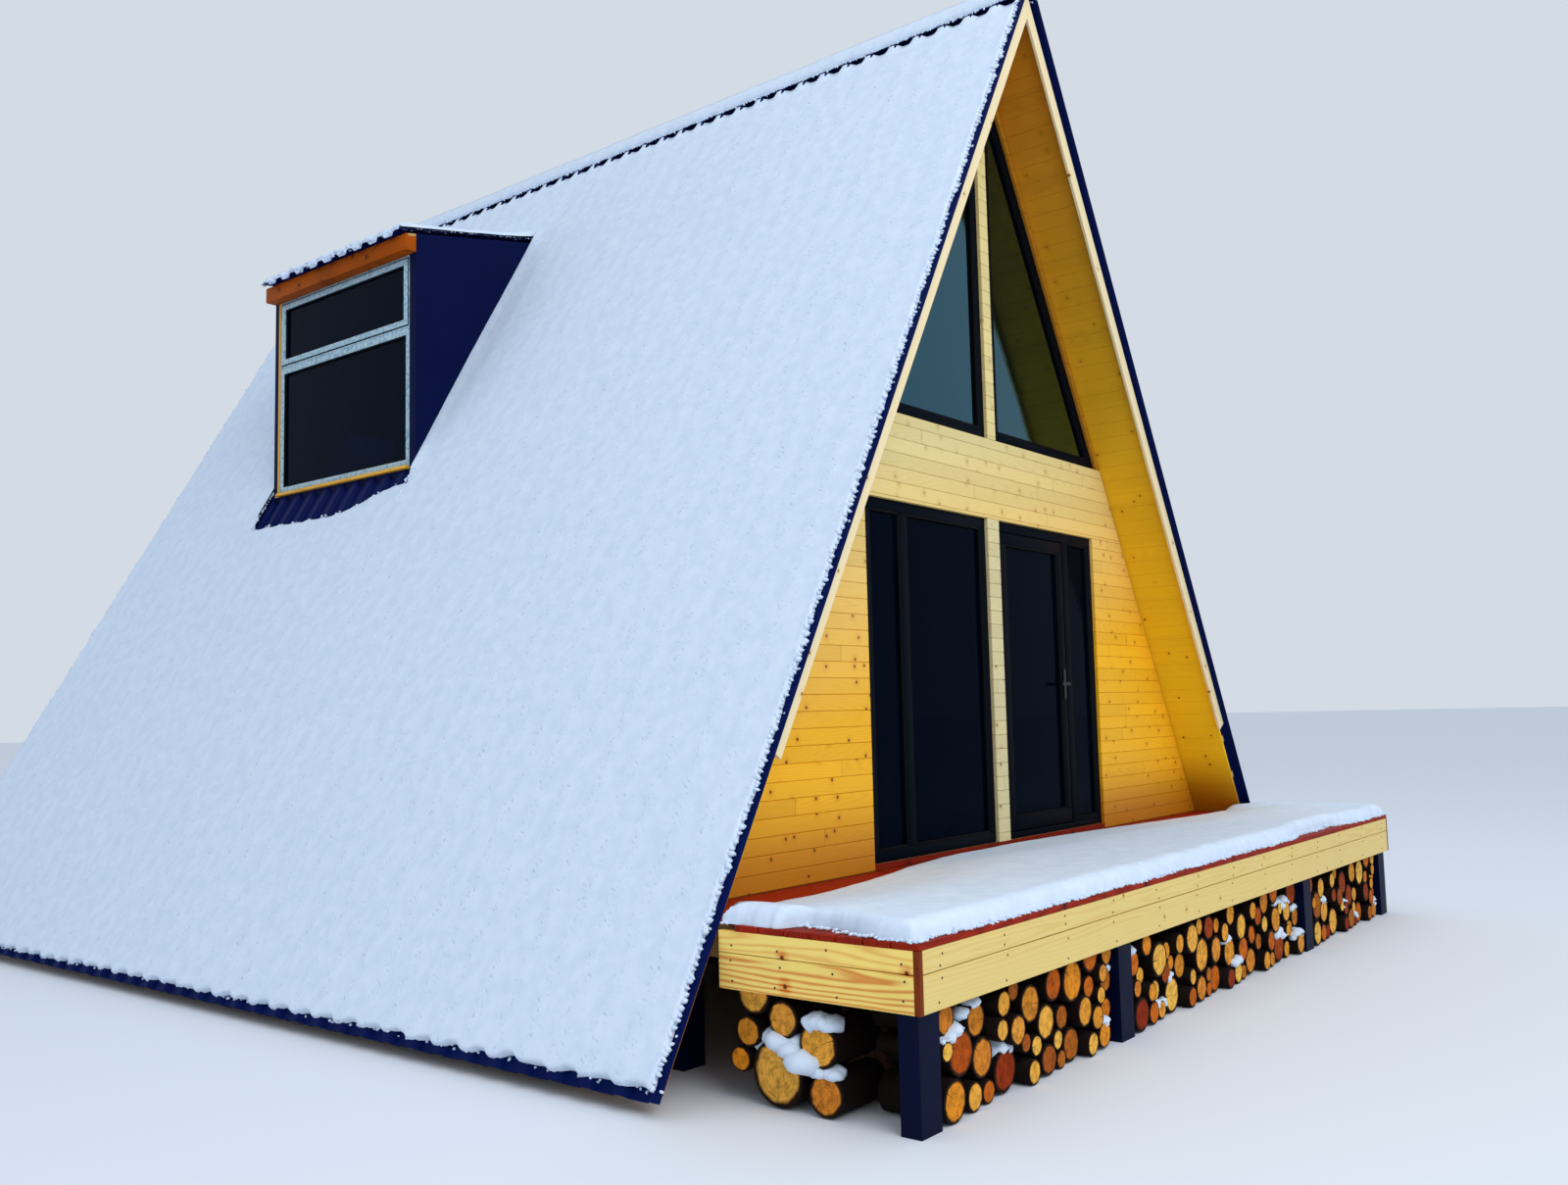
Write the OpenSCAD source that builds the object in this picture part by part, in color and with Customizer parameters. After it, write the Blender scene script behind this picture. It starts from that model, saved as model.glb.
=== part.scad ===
// A-frame cabin on short steel posts, with a dormer and a front deck over stacked firewood.
// Millimetres. X runs to the right, Y from the deck to the back gable, Z up.
// The origin is on the ground, at the middle of the whole length and width.

/* [Roof] */
// Height of the roof sheet's crowns at the ridge, above the ground
ridge_h = 6750; // [6500:10:7100]
// Pitch of both slopes in degrees
roof_pitch = 60; // [59:0.25:61]
// Distance from the front barge boards' faces to the back ones'
roof_len = 8555; // [8200:5:9600]
// Height of the roof's foot above the ground
eave_h = 75; // [50:5:120]
// Height of the ribs of the roof sheet
rib_h = 35; // [25:1:45]
// Distance from rib to rib of the roof sheet
rib_pitch = 214; // [180:1:260]
// Width of a rib's flat crown
rib_crown = 60; // [40:1:80]
// Width of a rib's slanted side, seen from above
rib_web = 20; // [12:1:30]
// Thickness of the sheet metal
sheet_t = 3; // [2:0.5:5]
// Distance from the ridge line to the sheet's upper end, down the slope
sheet_gap = 75; // [65:1:90]
// Width of each wing of the ridge cap
cap_w = 150; // [120:5:200]
// Thickness of the laths under the sheet
lath_t = 25; // [20:1:32]
// Width of the laths
lath_w = 50; // [40:1:70]
// Distance from lath to lath, down the slope
lath_pitch = 350; // [300:10:450]
// Thickness of the roof boards, which show as the soffit
board_t = 20; // [16:1:26]
// Depth of the rafters
rafter_d = 160; // [140:5:180]
// Thickness of the rafters
rafter_t = 50; // [40:1:60]
// Number of A-frames
frame_count = 10; // [8:1:12]
// Thickness of the lining inside the rafters
lining_t = 15; // [10:1:20]

/* [Verges] */
// How far each gable wall stands behind its verge
gable_recess = 420; // [360:5:480]
// Width of the barge boards
barge_w = 98; // [80:1:120]
// Thickness of the barge boards
barge_t = 22; // [18:1:28]
// Length of each barge board from the ridge to its cut end
barge_len = 6020; // [5600:10:6200]
// How far the roof's edge stands ahead of the barge boards
barge_back = 45; // [30:1:60]
// Gap from the barge boards' back faces to the first rib's side
verge_clear = 5; // [3:0.5:10]
// How far the barge board's outer edge lies under the crowns at the ridge
barge_drop = 38; // [36:1:45]

/* [Gable walls] */
// Height of the door and window sills above the ground
sill_h = 810; // [780:5:860]
// Thickness of the gable walls with their boards
wall_t = 150; // [130:5:180]
// Thickness of the boards on the gable walls
clad_t = 22; // [18:1:26]
// Width of each glazed unit
unit_w = 1465; // [1400:5:1520]
// Height of each glazed unit
unit_h = 2200; // [2100:5:2250]
// Width of the boarded post between the units
centre_post_w = 155; // [130:5:180]
// Width of the post between the upper windows
upper_post_w = 110; // [90:5:150]
// Height of the upper windows' sills above the lower ones
upper_sill = 2760; // [2720:5:2800]
// Width of the strip of wall beside the upper windows, square to the slope
upper_strip = 60; // [45:1:75]
// How far the frames stand behind the face of the boards
frame_recess = 25; // [15:1:30]
// Thickness of the window and door frames, from front to back
frame_t = 70; // [60:1:80]
// Width of the frames' bars
frame_w = 70; // [60:1:80]
// Width of the bar between two lights
mullion_w = 80; // [70:1:90]
// Width of the narrow light in each unit
narrow_w = 330; // [280:5:380]
// Thickness of the glazing
glass_t = 24; // [16:1:28]

/* [Door] */
// Gap round the door leaf
door_gap = 6; // [5:0.5:8]
// Width of the door leaf's stiles and top rail
stile_w = 80; // [70:1:100]
// Height of the door leaf's bottom rail
door_rail_h = 95; // [80:1:130]
// Height of the door's lower frame bar
door_sill_h = 45; // [30:1:60]
// Gap at the door's free edge, wide enough for its swing
door_free_gap = 9; // [9:0.5:12]
// Radius of the door hinges' barrels
hinge_r = 8; // [6:0.5:9]
// Height of each half of a door hinge
hinge_h = 45; // [30:1:60]
// Thickness of the hinges' plates
hinge_plate_t = 3; // [2:0.5:4]
// Number of door hinges
hinge_n = 3; // [2:1:4]
// Height of the handle above the sill
handle_h = 1065; // [950:5:1150]
// Length of the handle's lever
handle_len = 125; // [110:1:140]

/* [Back gable] */
// Width of the back windows
back_win_w = 1200; // [900:10:1500]
// Height of the lower back window
back_win_h = 1200; // [900:10:1300]
// Height of the upper back window
back_upper_h = 900; // [700:10:1000]
// Height of the lower back window's sill above the floor
back_win_sill = 900; // [800:10:1000]
// Height of the upper back window's sill above the loft floor
back_upper_sill = 500; // [400:10:600]

/* [Dormer] */
// Distance from the front verge to the dormer's near side
dormer_from_verge = 4550; // [4200:10:4900]
// Width of the dormer window
dormer_win_w = 1890; // [1700:10:2000]
// Height of the dormer window
dormer_win_h = 1715; // [1650:5:1750]
// Height from the dormer window's head up to the ridge
dormer_below_ridge = 1309; // [1250:1:1360]
// Height of the dormer's transom above its window's lower edge
dormer_transom = 1085; // [1000:5:1150]
// Thickness of the dormer's side walls
cheek_t = 80; // [60:1:100]
// Thickness of the sheet on the dormer's side walls
cheek_sheet_t = 4; // [3:0.5:6]
// Pitch of the dormer's roof in degrees
dormer_pitch = 11.5; // [10:0.5:13]
// How far the dormer's roof stands ahead of its window
dormer_eave = 150; // [120:5:180]
// Height of the board over the dormer window
header_h = 130; // [110:5:150]
// Thickness of the board over the dormer window
header_t = 25; // [20:1:30]
// How far that board's face stands ahead of the window
header_out = 100; // [60:5:110]
// Thickness of the dormer's sill board
dormer_sill_t = 25; // [20:1:30]
// How far the dormer's sill board stands ahead of its window
dormer_sill_out = 40; // [30:1:60]
// Length of the apron below the dormer, down the slope
apron_len = 350; // [300:10:450]

/* [Floors] */
// Thickness of the floor boards
floor_t = 28; // [22:1:32]
// Depth of the ground floor joists
joist_d = 180; // [160:5:200]
// Depth of the loft joists
loft_joist_d = 150; // [130:5:170]
// Height of the loft floor's top above the ground floor
loft_floor_h = 2640; // [2580:5:2680]
// Width and height of the steel beams under the floor
beam_w = 100; // [80:5:120]
// Distance from the roof boards in to the middle of the outer floor beams
beam_inset = 330; // [300:10:450]
// Distance from the middle to the inner floor beams, as a share of that to the outer ones
beam_share = 0.34; // [0.3:0.01:0.4]
// Number of rows of posts under the floor
post_rows = 4; // [3:1:5]

/* [Deck] */
// How far the deck reaches ahead of the front verge
deck_ahead = 1120; // [1000:10:1300]
// How far the deck's top lies below the door sills
deck_step = 35; // [25:1:50]
// Thickness of the deck boards
deck_board_t = 28; // [24:1:32]
// Number of deck boards from the front edge to the wall
deck_board_n = 11; // [9:1:13]
// Gap between the deck boards
deck_board_gap = 6; // [4:1:8]
// Depth of the deck joists
deck_joist_d = 145; // [120:5:160]
// Thickness of the deck joists
deck_joist_t = 45; // [40:1:60]
// Number of deck joists behind the front rim
deck_joists = 9; // [7:1:11]
// Height of the upper fascia board
fascia_upper_h = 95; // [80:1:110]
// Height of the lower fascia board
fascia_lower_h = 156; // [140:1:170]
// Gap between the fascia boards
fascia_seam = 4; // [2:1:6]
// Gap where two timbers butt
joint_gap = 2; // [1:0.5:4]
// Gap between pieces that lie against each other
lay_gap = 0.1; // [0.05:0.05:0.5]
// Thickness of the fascia boards
fascia_t = 28; // [22:1:34]
// Width of the trim at the deck's front corners
corner_trim = 26; // [20:1:32]
// Width of the steel posts, seen from the front
post_w = 155; // [120:5:180]
// Depth of the steel posts, from front to back
post_d = 100; // [80:5:120]
// Wall thickness of the steel tubes
tube_t = 5; // [3:0.5:8]
// Distance from the deck's side edge in to the outer face of its corner posts
deck_post_inset = 32; // [28:1:60]
// Distance from the middle to the deck's inner posts, as a share of that to the corner ones
deck_post_share = 0.442; // [0.38:0.002:0.5]

/* [Firewood] */
// Length of the logs under the deck's front
log_len = 330; // [280:10:400]
// Gap between neighbouring logs
log_gap = 3; // [2:0.5:5]
// Gap between the firewood and the posts and fascias
log_clear = 12; // [8:1:20]
// Spacing of the places where a log may be dropped
log_step = 30; // [20:5:60]
// Step by which the ends of neighbouring logs stand back
log_stagger = 14; // [8:1:20]

/* [Hidden] */

$fn = 48;

// Lengthwise places
deck_front_y = -(roof_len + deck_ahead + barge_back) / 2;
verge_y = deck_front_y + deck_ahead;
back_verge_y = verge_y + roof_len;
edge_y = verge_y - barge_back;
back_edge_y = back_verge_y + barge_back;
wall_y = verge_y + gable_recess;
back_wall_y = back_verge_y - gable_recess;

// Heights
floor_top = sill_h;
joist_top = floor_top - floor_t;
joist_bottom = joist_top - joist_d;
beam_bottom = joist_bottom - beam_w;
deck_top = sill_h - deck_step;
deck_frame_top = deck_top - deck_board_t;
deck_frame_bottom = deck_frame_top - deck_joist_d;
fascia_h = fascia_upper_h + fascia_seam + fascia_lower_h;
fascia_bottom = deck_frame_top - fascia_h;
band_bottom = sill_h + unit_h;
upper_z = sill_h + upper_sill;
loft_top = floor_top + loft_floor_h;

// Depths under the plane of the sheet's crowns, square to the slope
at_lath = rib_h;
at_board = at_lath + lath_t;
at_rafter = at_board + board_t;
at_lining = at_rafter + rafter_d;
at_room = at_lining + lining_t;
at_upper_window = at_rafter + upper_strip;

// Height of the plane at a given depth, over the ridge line
function apex(depth) = ridge_h - depth / cos(roof_pitch);
// Half width of the plane at a given depth, at height z
function half_w(z, depth = 0) = (apex(depth) - z) / tan(roof_pitch);
// Height of the plane at a given depth, at distance x from the middle
function slope_z(x, depth = 0) = apex(depth) - x * tan(roof_pitch);

// Places across the front
unit_in = centre_post_w / 2;
unit_out = unit_in + unit_w;
frame_y = wall_y + frame_recess;
glass_y = frame_y + (frame_t - glass_t) / 2;
door_x0 = unit_in + frame_w / 2 + door_gap;
door_x1 = unit_out - frame_w - narrow_w - mullion_w - door_free_gap;
door_z0 = sill_h + door_sill_h + door_gap;
door_z1 = band_bottom - frame_w - door_gap;
hinge_x = door_x0 - door_gap / 2;
hinge_y = frame_y + frame_t + hinge_r;
hinge_margin = 150;
hinge_step = (door_z1 - door_z0 - 2 * hinge_margin - 2 * hinge_h) / (hinge_n - 1);

// Deck
deck_half = round(half_w(deck_frame_top));
deck_inner_half = half_w(deck_top, at_rafter) - deck_board_gap;
deck_frame_half = deck_half - fascia_t;
side_end_y = edge_y - verge_clear;
post_y = deck_front_y + fascia_t + verge_clear;
deck_post_x_outer = deck_half - deck_post_inset - post_w / 2;
deck_post_x_inner = deck_post_x_outer * deck_post_share;
beam_x_outer = half_w(joist_bottom, at_rafter) - beam_inset;
beam_x_inner = beam_x_outer * beam_share;

// Dormer: all x values are distances from the middle, to the left
dormer_head_z = ridge_h - dormer_below_ridge;
dormer_win_z = dormer_head_z - dormer_win_h;
dormer_x = half_w(dormer_win_z - dormer_sill_t);
dormer_top_z = dormer_head_z + header_h;
dormer_side = cheek_t + cheek_sheet_t;
dormer_y0 = verge_y + dormer_from_verge;
dormer_y1 = dormer_y0 + dormer_win_w + 2 * dormer_side;
// Height of the dormer's roof at distance x, h above the underside of its boards
function dormer_z(x, h = 0) =
    dormer_top_z + (dormer_x - x) * tan(dormer_pitch) + h / cos(dormer_pitch);
// Distance x where the dormer's roof, at height h, meets the plane at a given depth
function dormer_meet(depth, h) =
    (apex(depth) - dormer_top_z - dormer_x * tan(dormer_pitch) - h / cos(dormer_pitch))
    / (tan(roof_pitch) - tan(dormer_pitch));
dormer_open_x = dormer_meet(at_board, board_t);
dormer_sheet_x = dormer_meet(at_lath, board_t + rib_h);

// Colours
pine = "#E6C56A";
pine_pale = "#EBD28C";
soffit = "#D4920A";
navy = "#16203C";
frame_navy = "#0B1424";
glass_tint = [0.10, 0.20, 0.24, 0.6];
deck_stain = "#7A1E10";
header_orange = "#B5560A";
film_white = "#C9D6DA";
bark = "#C98A3C";
timber = "#C9A36A";

// Extrudes an outline drawn in X and Z from y0 to y1
module along_y(y0, y1) {
    translate([0, y1, 0]) rotate([90, 0, 0]) linear_extrude(y1 - y0) children();
}

// Both the children and their mirror image across the ridge line
module both_sides() {
    children();
    mirror([1, 0, 0]) children();
}

// Slab of the right slope between two depths, from the ridge down to a level cut
module slope_slab(depth0, depth1, y0, y1, z_low) {
    along_y(y0, y1) polygon([
        [0, apex(depth0)], [half_w(z_low, depth0), z_low],
        [half_w(z_low, depth1), z_low], [0, apex(depth1)]
    ]);
}

// Space of the dormer through the left slope, up to distance x_top from the middle
module dormer_void(x_top) {
    translate([-dormer_x - lay_gap, dormer_y0 - lay_gap, 0])
        cube([dormer_x + 2 * lay_gap - x_top, dormer_y1 - dormer_y0 + 2 * lay_gap, ridge_h]);
}

// Outline of a profiled sheet: width along X, crowns at height 0, at least edge flat at both sides
module sheet_outline(width, edge) {
    spare = max(0, edge - rib_crown / 2);
    count = floor((width - 2 * spare) / rib_pitch);
    margin = (width - count * rib_pitch) / 2;
    top = [
        [0, 0],
        for (i = [0:count - 1], p = [
            [rib_crown / 2, 0],
            [rib_crown / 2 + rib_web, -rib_h + sheet_t],
            [rib_pitch - rib_crown / 2 - rib_web, -rib_h + sheet_t],
            [rib_pitch - rib_crown / 2, 0]
        ]) [margin + i * rib_pitch + p.x, p.y],
        [width, 0]
    ];
    last = len(top) - 1;
    polygon(concat(top, [for (i = [last:-1:0]) top[i] - [0, sheet_t]]));
}

// Outline of the main roof's sheet, flat over the barge boards at both verges
module main_sheet_outline() {
    sheet_outline(back_edge_y - edge_y, barge_back + barge_t + verge_clear);
}

// Profiled sheet on the right slope, between two distances down from the ridge
module slope_sheet(s0, s1) {
    translate([0, edge_y, ridge_h]) rotate([0, roof_pitch, 0])
        translate([s0, 0, 0]) rotate([90, 0, 90]) linear_extrude(s1 - s0) children();
}

// Laths on the right slope
module slope_laths() {
    slope_len = (apex(at_board) - eave_h) / sin(roof_pitch);
    count = floor((slope_len - lath_w - sheet_gap) / lath_pitch);
    translate([0, verge_y + barge_t, ridge_h]) rotate([0, roof_pitch, 0])
        for (i = [0:count])
            translate([slope_len - lath_w - i * lath_pitch, 0, -at_board])
                cube([lath_w, roof_len - 2 * barge_t - lay_gap, lath_t - lay_gap]);
}

// Level slab that ends against a plane of both slopes
module level_slab(z0, z1, depth, y0, y1) {
    low = half_w(z0, depth + lay_gap);
    high = half_w(z1, depth + lay_gap);
    along_y(y0, y1) polygon([[-low, z0], [low, z0], [high, z1], [-high, z1]]);
}

// Places of the A-frames along the roof, their front faces
frame_y0 = wall_y + wall_t;
frame_y1 = back_wall_y - wall_t - rafter_t;
function frame_place(i) = frame_y0 + (frame_y1 - frame_y0) * i / (frame_count - 1);

module slope_rafters() {
    for (i = [0:frame_count - 1])
        slope_slab(at_rafter + lay_gap, at_lining, frame_place(i), frame_place(i) + rafter_t, eave_h);
}

// Steel tube post with its foot on the ground
module steel_post(x, y, h) {
    translate([x - post_w / 2, y, 0]) linear_extrude(h) tube_section(post_w, post_d);
}

// Section of a rectangular steel tube
module tube_section(w, d) {
    difference() {
        square([w, d]);
        translate([tube_t, tube_t]) square([w - 2 * tube_t, d - 2 * tube_t]);
    }
}

module deck_posts() {
    color(navy)
        for (x = [deck_post_x_outer, deck_post_x_inner], s = [-1, 1])
            steel_post(s * x, post_y, deck_frame_bottom);
}

// Front faces of the rows of posts under the floor
function post_row_y(i) =
    wall_y + (back_wall_y - wall_y - post_d) * i / (post_rows - 1);

module cabin_posts() {
    color(navy)
        for (i = [0:post_rows - 1], x = [beam_x_outer, beam_x_inner], s = [-1, 1])
            steel_post(s * x, post_row_y(i), beam_bottom);
}

module floor_beams() {
    color(navy)
        for (x = [beam_x_outer, beam_x_inner], s = [-1, 1])
            translate([s * x - beam_w / 2, 0, beam_bottom])
                along_y(wall_y - 2 * deck_joist_t, back_wall_y) tube_section(beam_w, beam_w);
}

// Joists beside the A-frames, on the inner side of each, and a rim under each gable wall
module floor_joists() {
    places = [
        wall_y + clad_t, back_wall_y - clad_t - rafter_t,
        for (i = [0:frame_count - 1]) frame_place(i) + (i < frame_count - 1 ? rafter_t : -rafter_t)
    ];
    color(timber) for (y = places)
        level_slab(joist_bottom, joist_top, at_rafter, y, y + rafter_t);
}

module ground_floor() {
    color(timber)
        level_slab(joist_top, floor_top, at_lining, wall_y + clad_t, back_wall_y - clad_t);
}

module loft_joists() {
    z = loft_top - floor_t;
    color(timber) for (i = [1:frame_count - 2])
        level_slab(z - loft_joist_d, z, at_lining, frame_place(i), frame_place(i) + rafter_t);
}

module loft_floor() {
    color(timber)
        level_slab(loft_top - floor_t, loft_top, at_room, wall_y + wall_t, back_wall_y - wall_t);
}

module rafters_left() {
    color(timber) difference() {
        mirror([1, 0, 0]) slope_rafters();
        dormer_void(dormer_open_x);
    }
}

module rafters_right() {
    color(timber) slope_rafters();
}

// Roof boards of the right slope, between the front and the back barge boards
module slope_boards() {
    slope_slab(at_board, at_rafter, verge_y + barge_t, back_verge_y - barge_t, eave_h);
}

module roof_boards_left() {
    color(soffit) difference() {
        mirror([1, 0, 0]) slope_boards();
        dormer_void(dormer_open_x);
    }
}

module roof_boards_right() {
    color(soffit) slope_boards();
}

// Lining of the right slope, from the ridge down to the floor, open where the loft joists end
module slope_lining() {
    slope_slab(at_lining + lay_gap, at_room, wall_y + wall_t, back_wall_y - wall_t, floor_top);
}

module lining_left() {
    color(pine) difference() {
        mirror([1, 0, 0]) slope_lining();
        dormer_void(dormer_open_x);
        loft_joists();
    }
}

module lining_right() {
    color(pine) difference() {
        slope_lining();
        loft_joists();
    }
}

module laths() {
    color(timber) {
        slope_laths();
        difference() {
            mirror([1, 0, 0]) slope_laths();
            dormer_void(dormer_open_x);
        }
    }
}

// Distance down the slope from the ridge to height z
function down_to(z) = (ridge_h - z) / sin(roof_pitch);

module roof_sheet_left() {
    color(navy) difference() {
        mirror([1, 0, 0]) slope_sheet(sheet_gap, down_to(eave_h)) main_sheet_outline();
        dormer_void(dormer_sheet_x);
    }
}

module roof_sheet_right() {
    color(navy) slope_sheet(sheet_gap, down_to(eave_h)) main_sheet_outline();
}

module ridge_cap() {
    reach = cap_w * cos(roof_pitch);
    color(navy) along_y(edge_y, back_edge_y) polygon([
        [-reach, slope_z(reach)], [-reach, slope_z(reach, -sheet_t)], [0, apex(-sheet_t)],
        [reach, slope_z(reach, -sheet_t)], [reach, slope_z(reach)], [0, ridge_h]
    ]);
}

// Barge board of the right slope, slightly askew, plumb-cut at the ridge and square-cut at its foot
module barge_board(y0) {
    skew = asin((barge_drop - sheet_t - 2) / barge_len);
    intersection() {
        translate([0, y0, ridge_h]) rotate([0, roof_pitch, 0])
            translate([0, 0, -barge_drop]) rotate([0, -skew, 0])
                translate([-barge_len, 0, -barge_w]) cube([2 * barge_len, barge_t, barge_w]);
        translate([joint_gap / 2, y0 - barge_t, 0]) cube([ridge_h, 3 * barge_t, ridge_h]);
    }
}

module barge_boards_front() {
    color(pine_pale) both_sides() barge_board(verge_y);
}

module barge_boards_back() {
    color(pine_pale) both_sides() barge_board(back_verge_y - barge_t);
}

// Right half of a gable wall between two heights, outside the distance inner
module gable_piece(z0, z1, inner, z_core) {
    along_y(wall_y, wall_y + clad_t) gable_outline(z0, z1, inner);
    along_y(wall_y + clad_t, wall_y + wall_t) gable_outline(z_core, z1, inner);
}

module gable_outline(z0, z1, inner) {
    depth = at_rafter + lay_gap;
    peak = min(z1, slope_z(inner, depth));
    polygon([
        [inner, z0], [half_w(z0, depth), z0], [half_w(peak, depth), peak],
        if (half_w(peak, depth) > inner) [inner, peak]
    ]);
}

module front_wall_right() {
    color(pine) gable_piece(deck_top, band_bottom, unit_out, floor_top);
}

module front_wall_left() {
    mirror([1, 0, 0]) front_wall_right();
}

module front_wall_band() {
    color(pine) both_sides() gable_piece(band_bottom, upper_z, 0, band_bottom);
}

module centre_post() {
    color(pine_pale)
        translate([-unit_in, wall_y, sill_h]) cube([centre_post_w, wall_t, unit_h]);
}

// Triangular opening of an upper window whose upright edge is at x = inner, drawn in by a margin
module upper_window_outline(inner, margin) {
    x = inner + margin;
    z = upper_z + margin;
    depth = at_upper_window + margin;
    polygon([[x, z], [half_w(z, depth), z], [x, slope_z(x, depth)]]);
}

// Both upper windows, drawn in by a margin; the post between them is in line with the lower one's right edge
module upper_windows(y0, y1, margin) {
    along_y(y0, y1) upper_window_outline(unit_in, margin);
    mirror([1, 0, 0]) along_y(y0, y1) upper_window_outline(upper_post_w - unit_in, margin);
}

module front_wall_peak() {
    color(pine) difference() {
        both_sides() gable_piece(upper_z, ridge_h, 0, upper_z);
        upper_windows(wall_y - 1, wall_y + wall_t + 1, 0);
    }
}

module threshold() {
    color(deck_stain)
        translate([-unit_out, wall_y, deck_top]) cube([2 * unit_out, clad_t, deck_step]);
}

// Frame of one glazed unit to the right of the middle: a wide light, a mullion and a narrow light
module unit_frame(sill_bar) {
    along_y(frame_y, frame_y + frame_t) difference() {
        translate([unit_in, sill_h]) square([unit_w, unit_h]);
        translate([unit_in + frame_w, sill_h + sill_bar])
            square([unit_w - 2 * frame_w - narrow_w - mullion_w, unit_h - sill_bar - frame_w]);
        translate([unit_out - frame_w - narrow_w, sill_h + frame_w])
            square([narrow_w, unit_h - 2 * frame_w]);
    }
}

module window_frame() {
    color(frame_navy) mirror([1, 0, 0]) unit_frame(frame_w);
}

module window_glass() {
    z = sill_h + frame_w;
    h = unit_h - 2 * frame_w;
    color(glass_tint) mirror([1, 0, 0]) {
        translate([unit_in + frame_w, glass_y, z])
            cube([unit_w - 2 * frame_w - narrow_w - mullion_w, glass_t, h]);
        translate([unit_out - frame_w - narrow_w, glass_y, z]) cube([narrow_w, glass_t, h]);
    }
}

module door_frame() {
    color(frame_navy) along_y(frame_y, frame_y + frame_t) difference() {
        translate([unit_in, sill_h]) square([unit_w, unit_h]);
        translate([door_x0 - door_gap, sill_h + door_sill_h])
            square([
                door_x1 - door_x0 + door_gap + door_free_gap,
                band_bottom - frame_w - sill_h - door_sill_h
            ]);
        translate([unit_out - frame_w - narrow_w, sill_h + frame_w])
            square([narrow_w, unit_h - 2 * frame_w]);
    }
}

module sidelight_glass() {
    color(glass_tint)
        translate([unit_out - frame_w - narrow_w, glass_y, sill_h + frame_w])
            cube([narrow_w, glass_t, unit_h - 2 * frame_w]);
}

module door_leaf() {
    color(frame_navy) along_y(frame_y, frame_y + frame_t) difference() {
        translate([door_x0, door_z0]) square([door_x1 - door_x0, door_z1 - door_z0]);
        translate([door_x0 + stile_w, door_z0 + door_rail_h])
            square([door_x1 - door_x0 - 2 * stile_w, door_z1 - door_z0 - door_rail_h - stile_w]);
    }
}

module door_glass() {
    color(glass_tint)
        translate([door_x0 + stile_w, glass_y, door_z0 + door_rail_h])
            cube([door_x1 - door_x0 - 2 * stile_w, glass_t, door_z1 - door_z0 - door_rail_h - stile_w]);
}

// One half of each hinge on the inner face: a barrel on the hinge line with a plate to one side
module hinge_halves(side, z) {
    plate_w = frame_w / 2 - door_gap / 2;
    for (i = [0:hinge_n - 1])
        translate([hinge_x, hinge_y, door_z0 + hinge_margin + i * hinge_step + z]) {
            cylinder(r = hinge_r, h = hinge_h);
            mirror([side, 0, 0])
                translate([0, -hinge_r + lay_gap, 0]) cube([plate_w, hinge_plate_t, hinge_h]);
        }
}

module hinges_frame() {
    color("silver") hinge_halves(1, 0);
}

module hinges_leaf() {
    color("silver") hinge_halves(0, hinge_h + 1);
}

// Lever handle on both faces of the door's free stile
module door_handle() {
    plate_t = 8;
    plate_w = 32;
    plate_h = 220;
    neck_r = 9;
    neck_len = 40;
    lever_t = 12;
    lever_h = 22;
    x = door_x1 - stile_w / 2;
    z = sill_h + handle_h;
    color("silver") for (face = [0, 1])
        translate([x, frame_y + face * frame_t, z]) mirror([0, 1 - face, 0]) {
            translate([-plate_w / 2, 0, -plate_h / 2]) cube([plate_w, plate_t, plate_h]);
            rotate([-90, 0, 0]) cylinder(r = neck_r, h = plate_t + neck_len);
            translate([neck_r - handle_len, plate_t + neck_len - lever_t, -lever_h / 2])
                cube([handle_len, lever_t, lever_h]);
        }
}

module upper_window_frames() {
    color(frame_navy) difference() {
        upper_windows(frame_y, frame_y + frame_t, 0);
        upper_windows(frame_y - 1, frame_y + frame_t + 1, frame_w);
    }
}

module upper_window_glass() {
    color(glass_tint) upper_windows(glass_y, glass_y + glass_t, frame_w);
}

// Back gable, drawn as the front one and turned round
module at_back() {
    rotate([0, 0, 180]) translate([0, -(wall_y + back_wall_y), 0]) children();
}

module back_opening(sill_z, h, margin) {
    translate([-back_win_w / 2 + margin, sill_z + margin])
        square([back_win_w - 2 * margin, h - 2 * margin]);
}

module back_wall_lower() {
    color(pine) at_back() difference() {
        both_sides() gable_piece(joist_bottom, loft_top, 0, floor_top);
        along_y(wall_y - 1, wall_y + wall_t + 1) back_opening(floor_top + back_win_sill, back_win_h, 0);
    }
}

module back_wall_upper() {
    color(pine) at_back() difference() {
        both_sides() gable_piece(loft_top, ridge_h, 0, loft_top);
        along_y(wall_y - 1, wall_y + wall_t + 1) back_opening(loft_top + back_upper_sill, back_upper_h, 0);
    }
}

module back_window_frames() {
    color(frame_navy) at_back() along_y(frame_y, frame_y + frame_t)
        for (win = [[floor_top + back_win_sill, back_win_h], [loft_top + back_upper_sill, back_upper_h]])
            difference() {
                back_opening(win[0], win[1], 0);
                back_opening(win[0], win[1], frame_w);
            }
}

module back_window_glass() {
    color(glass_tint) at_back() along_y(glass_y, glass_y + glass_t) {
        back_opening(floor_top + back_win_sill, back_win_h, frame_w);
        back_opening(loft_top + back_upper_sill, back_upper_h, frame_w);
    }
}

// Side of the dormer in X and Z: from a depth in the main roof up to height h, and in to distance x_end
module cheek_outline(depth, h, x_end) {
    polygon([
        [-dormer_x, slope_z(dormer_x, depth)], [-dormer_x, dormer_z(dormer_x, h)],
        [-x_end, dormer_z(x_end, h)], [-x_end, slope_z(x_end, depth)]
    ]);
}

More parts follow.
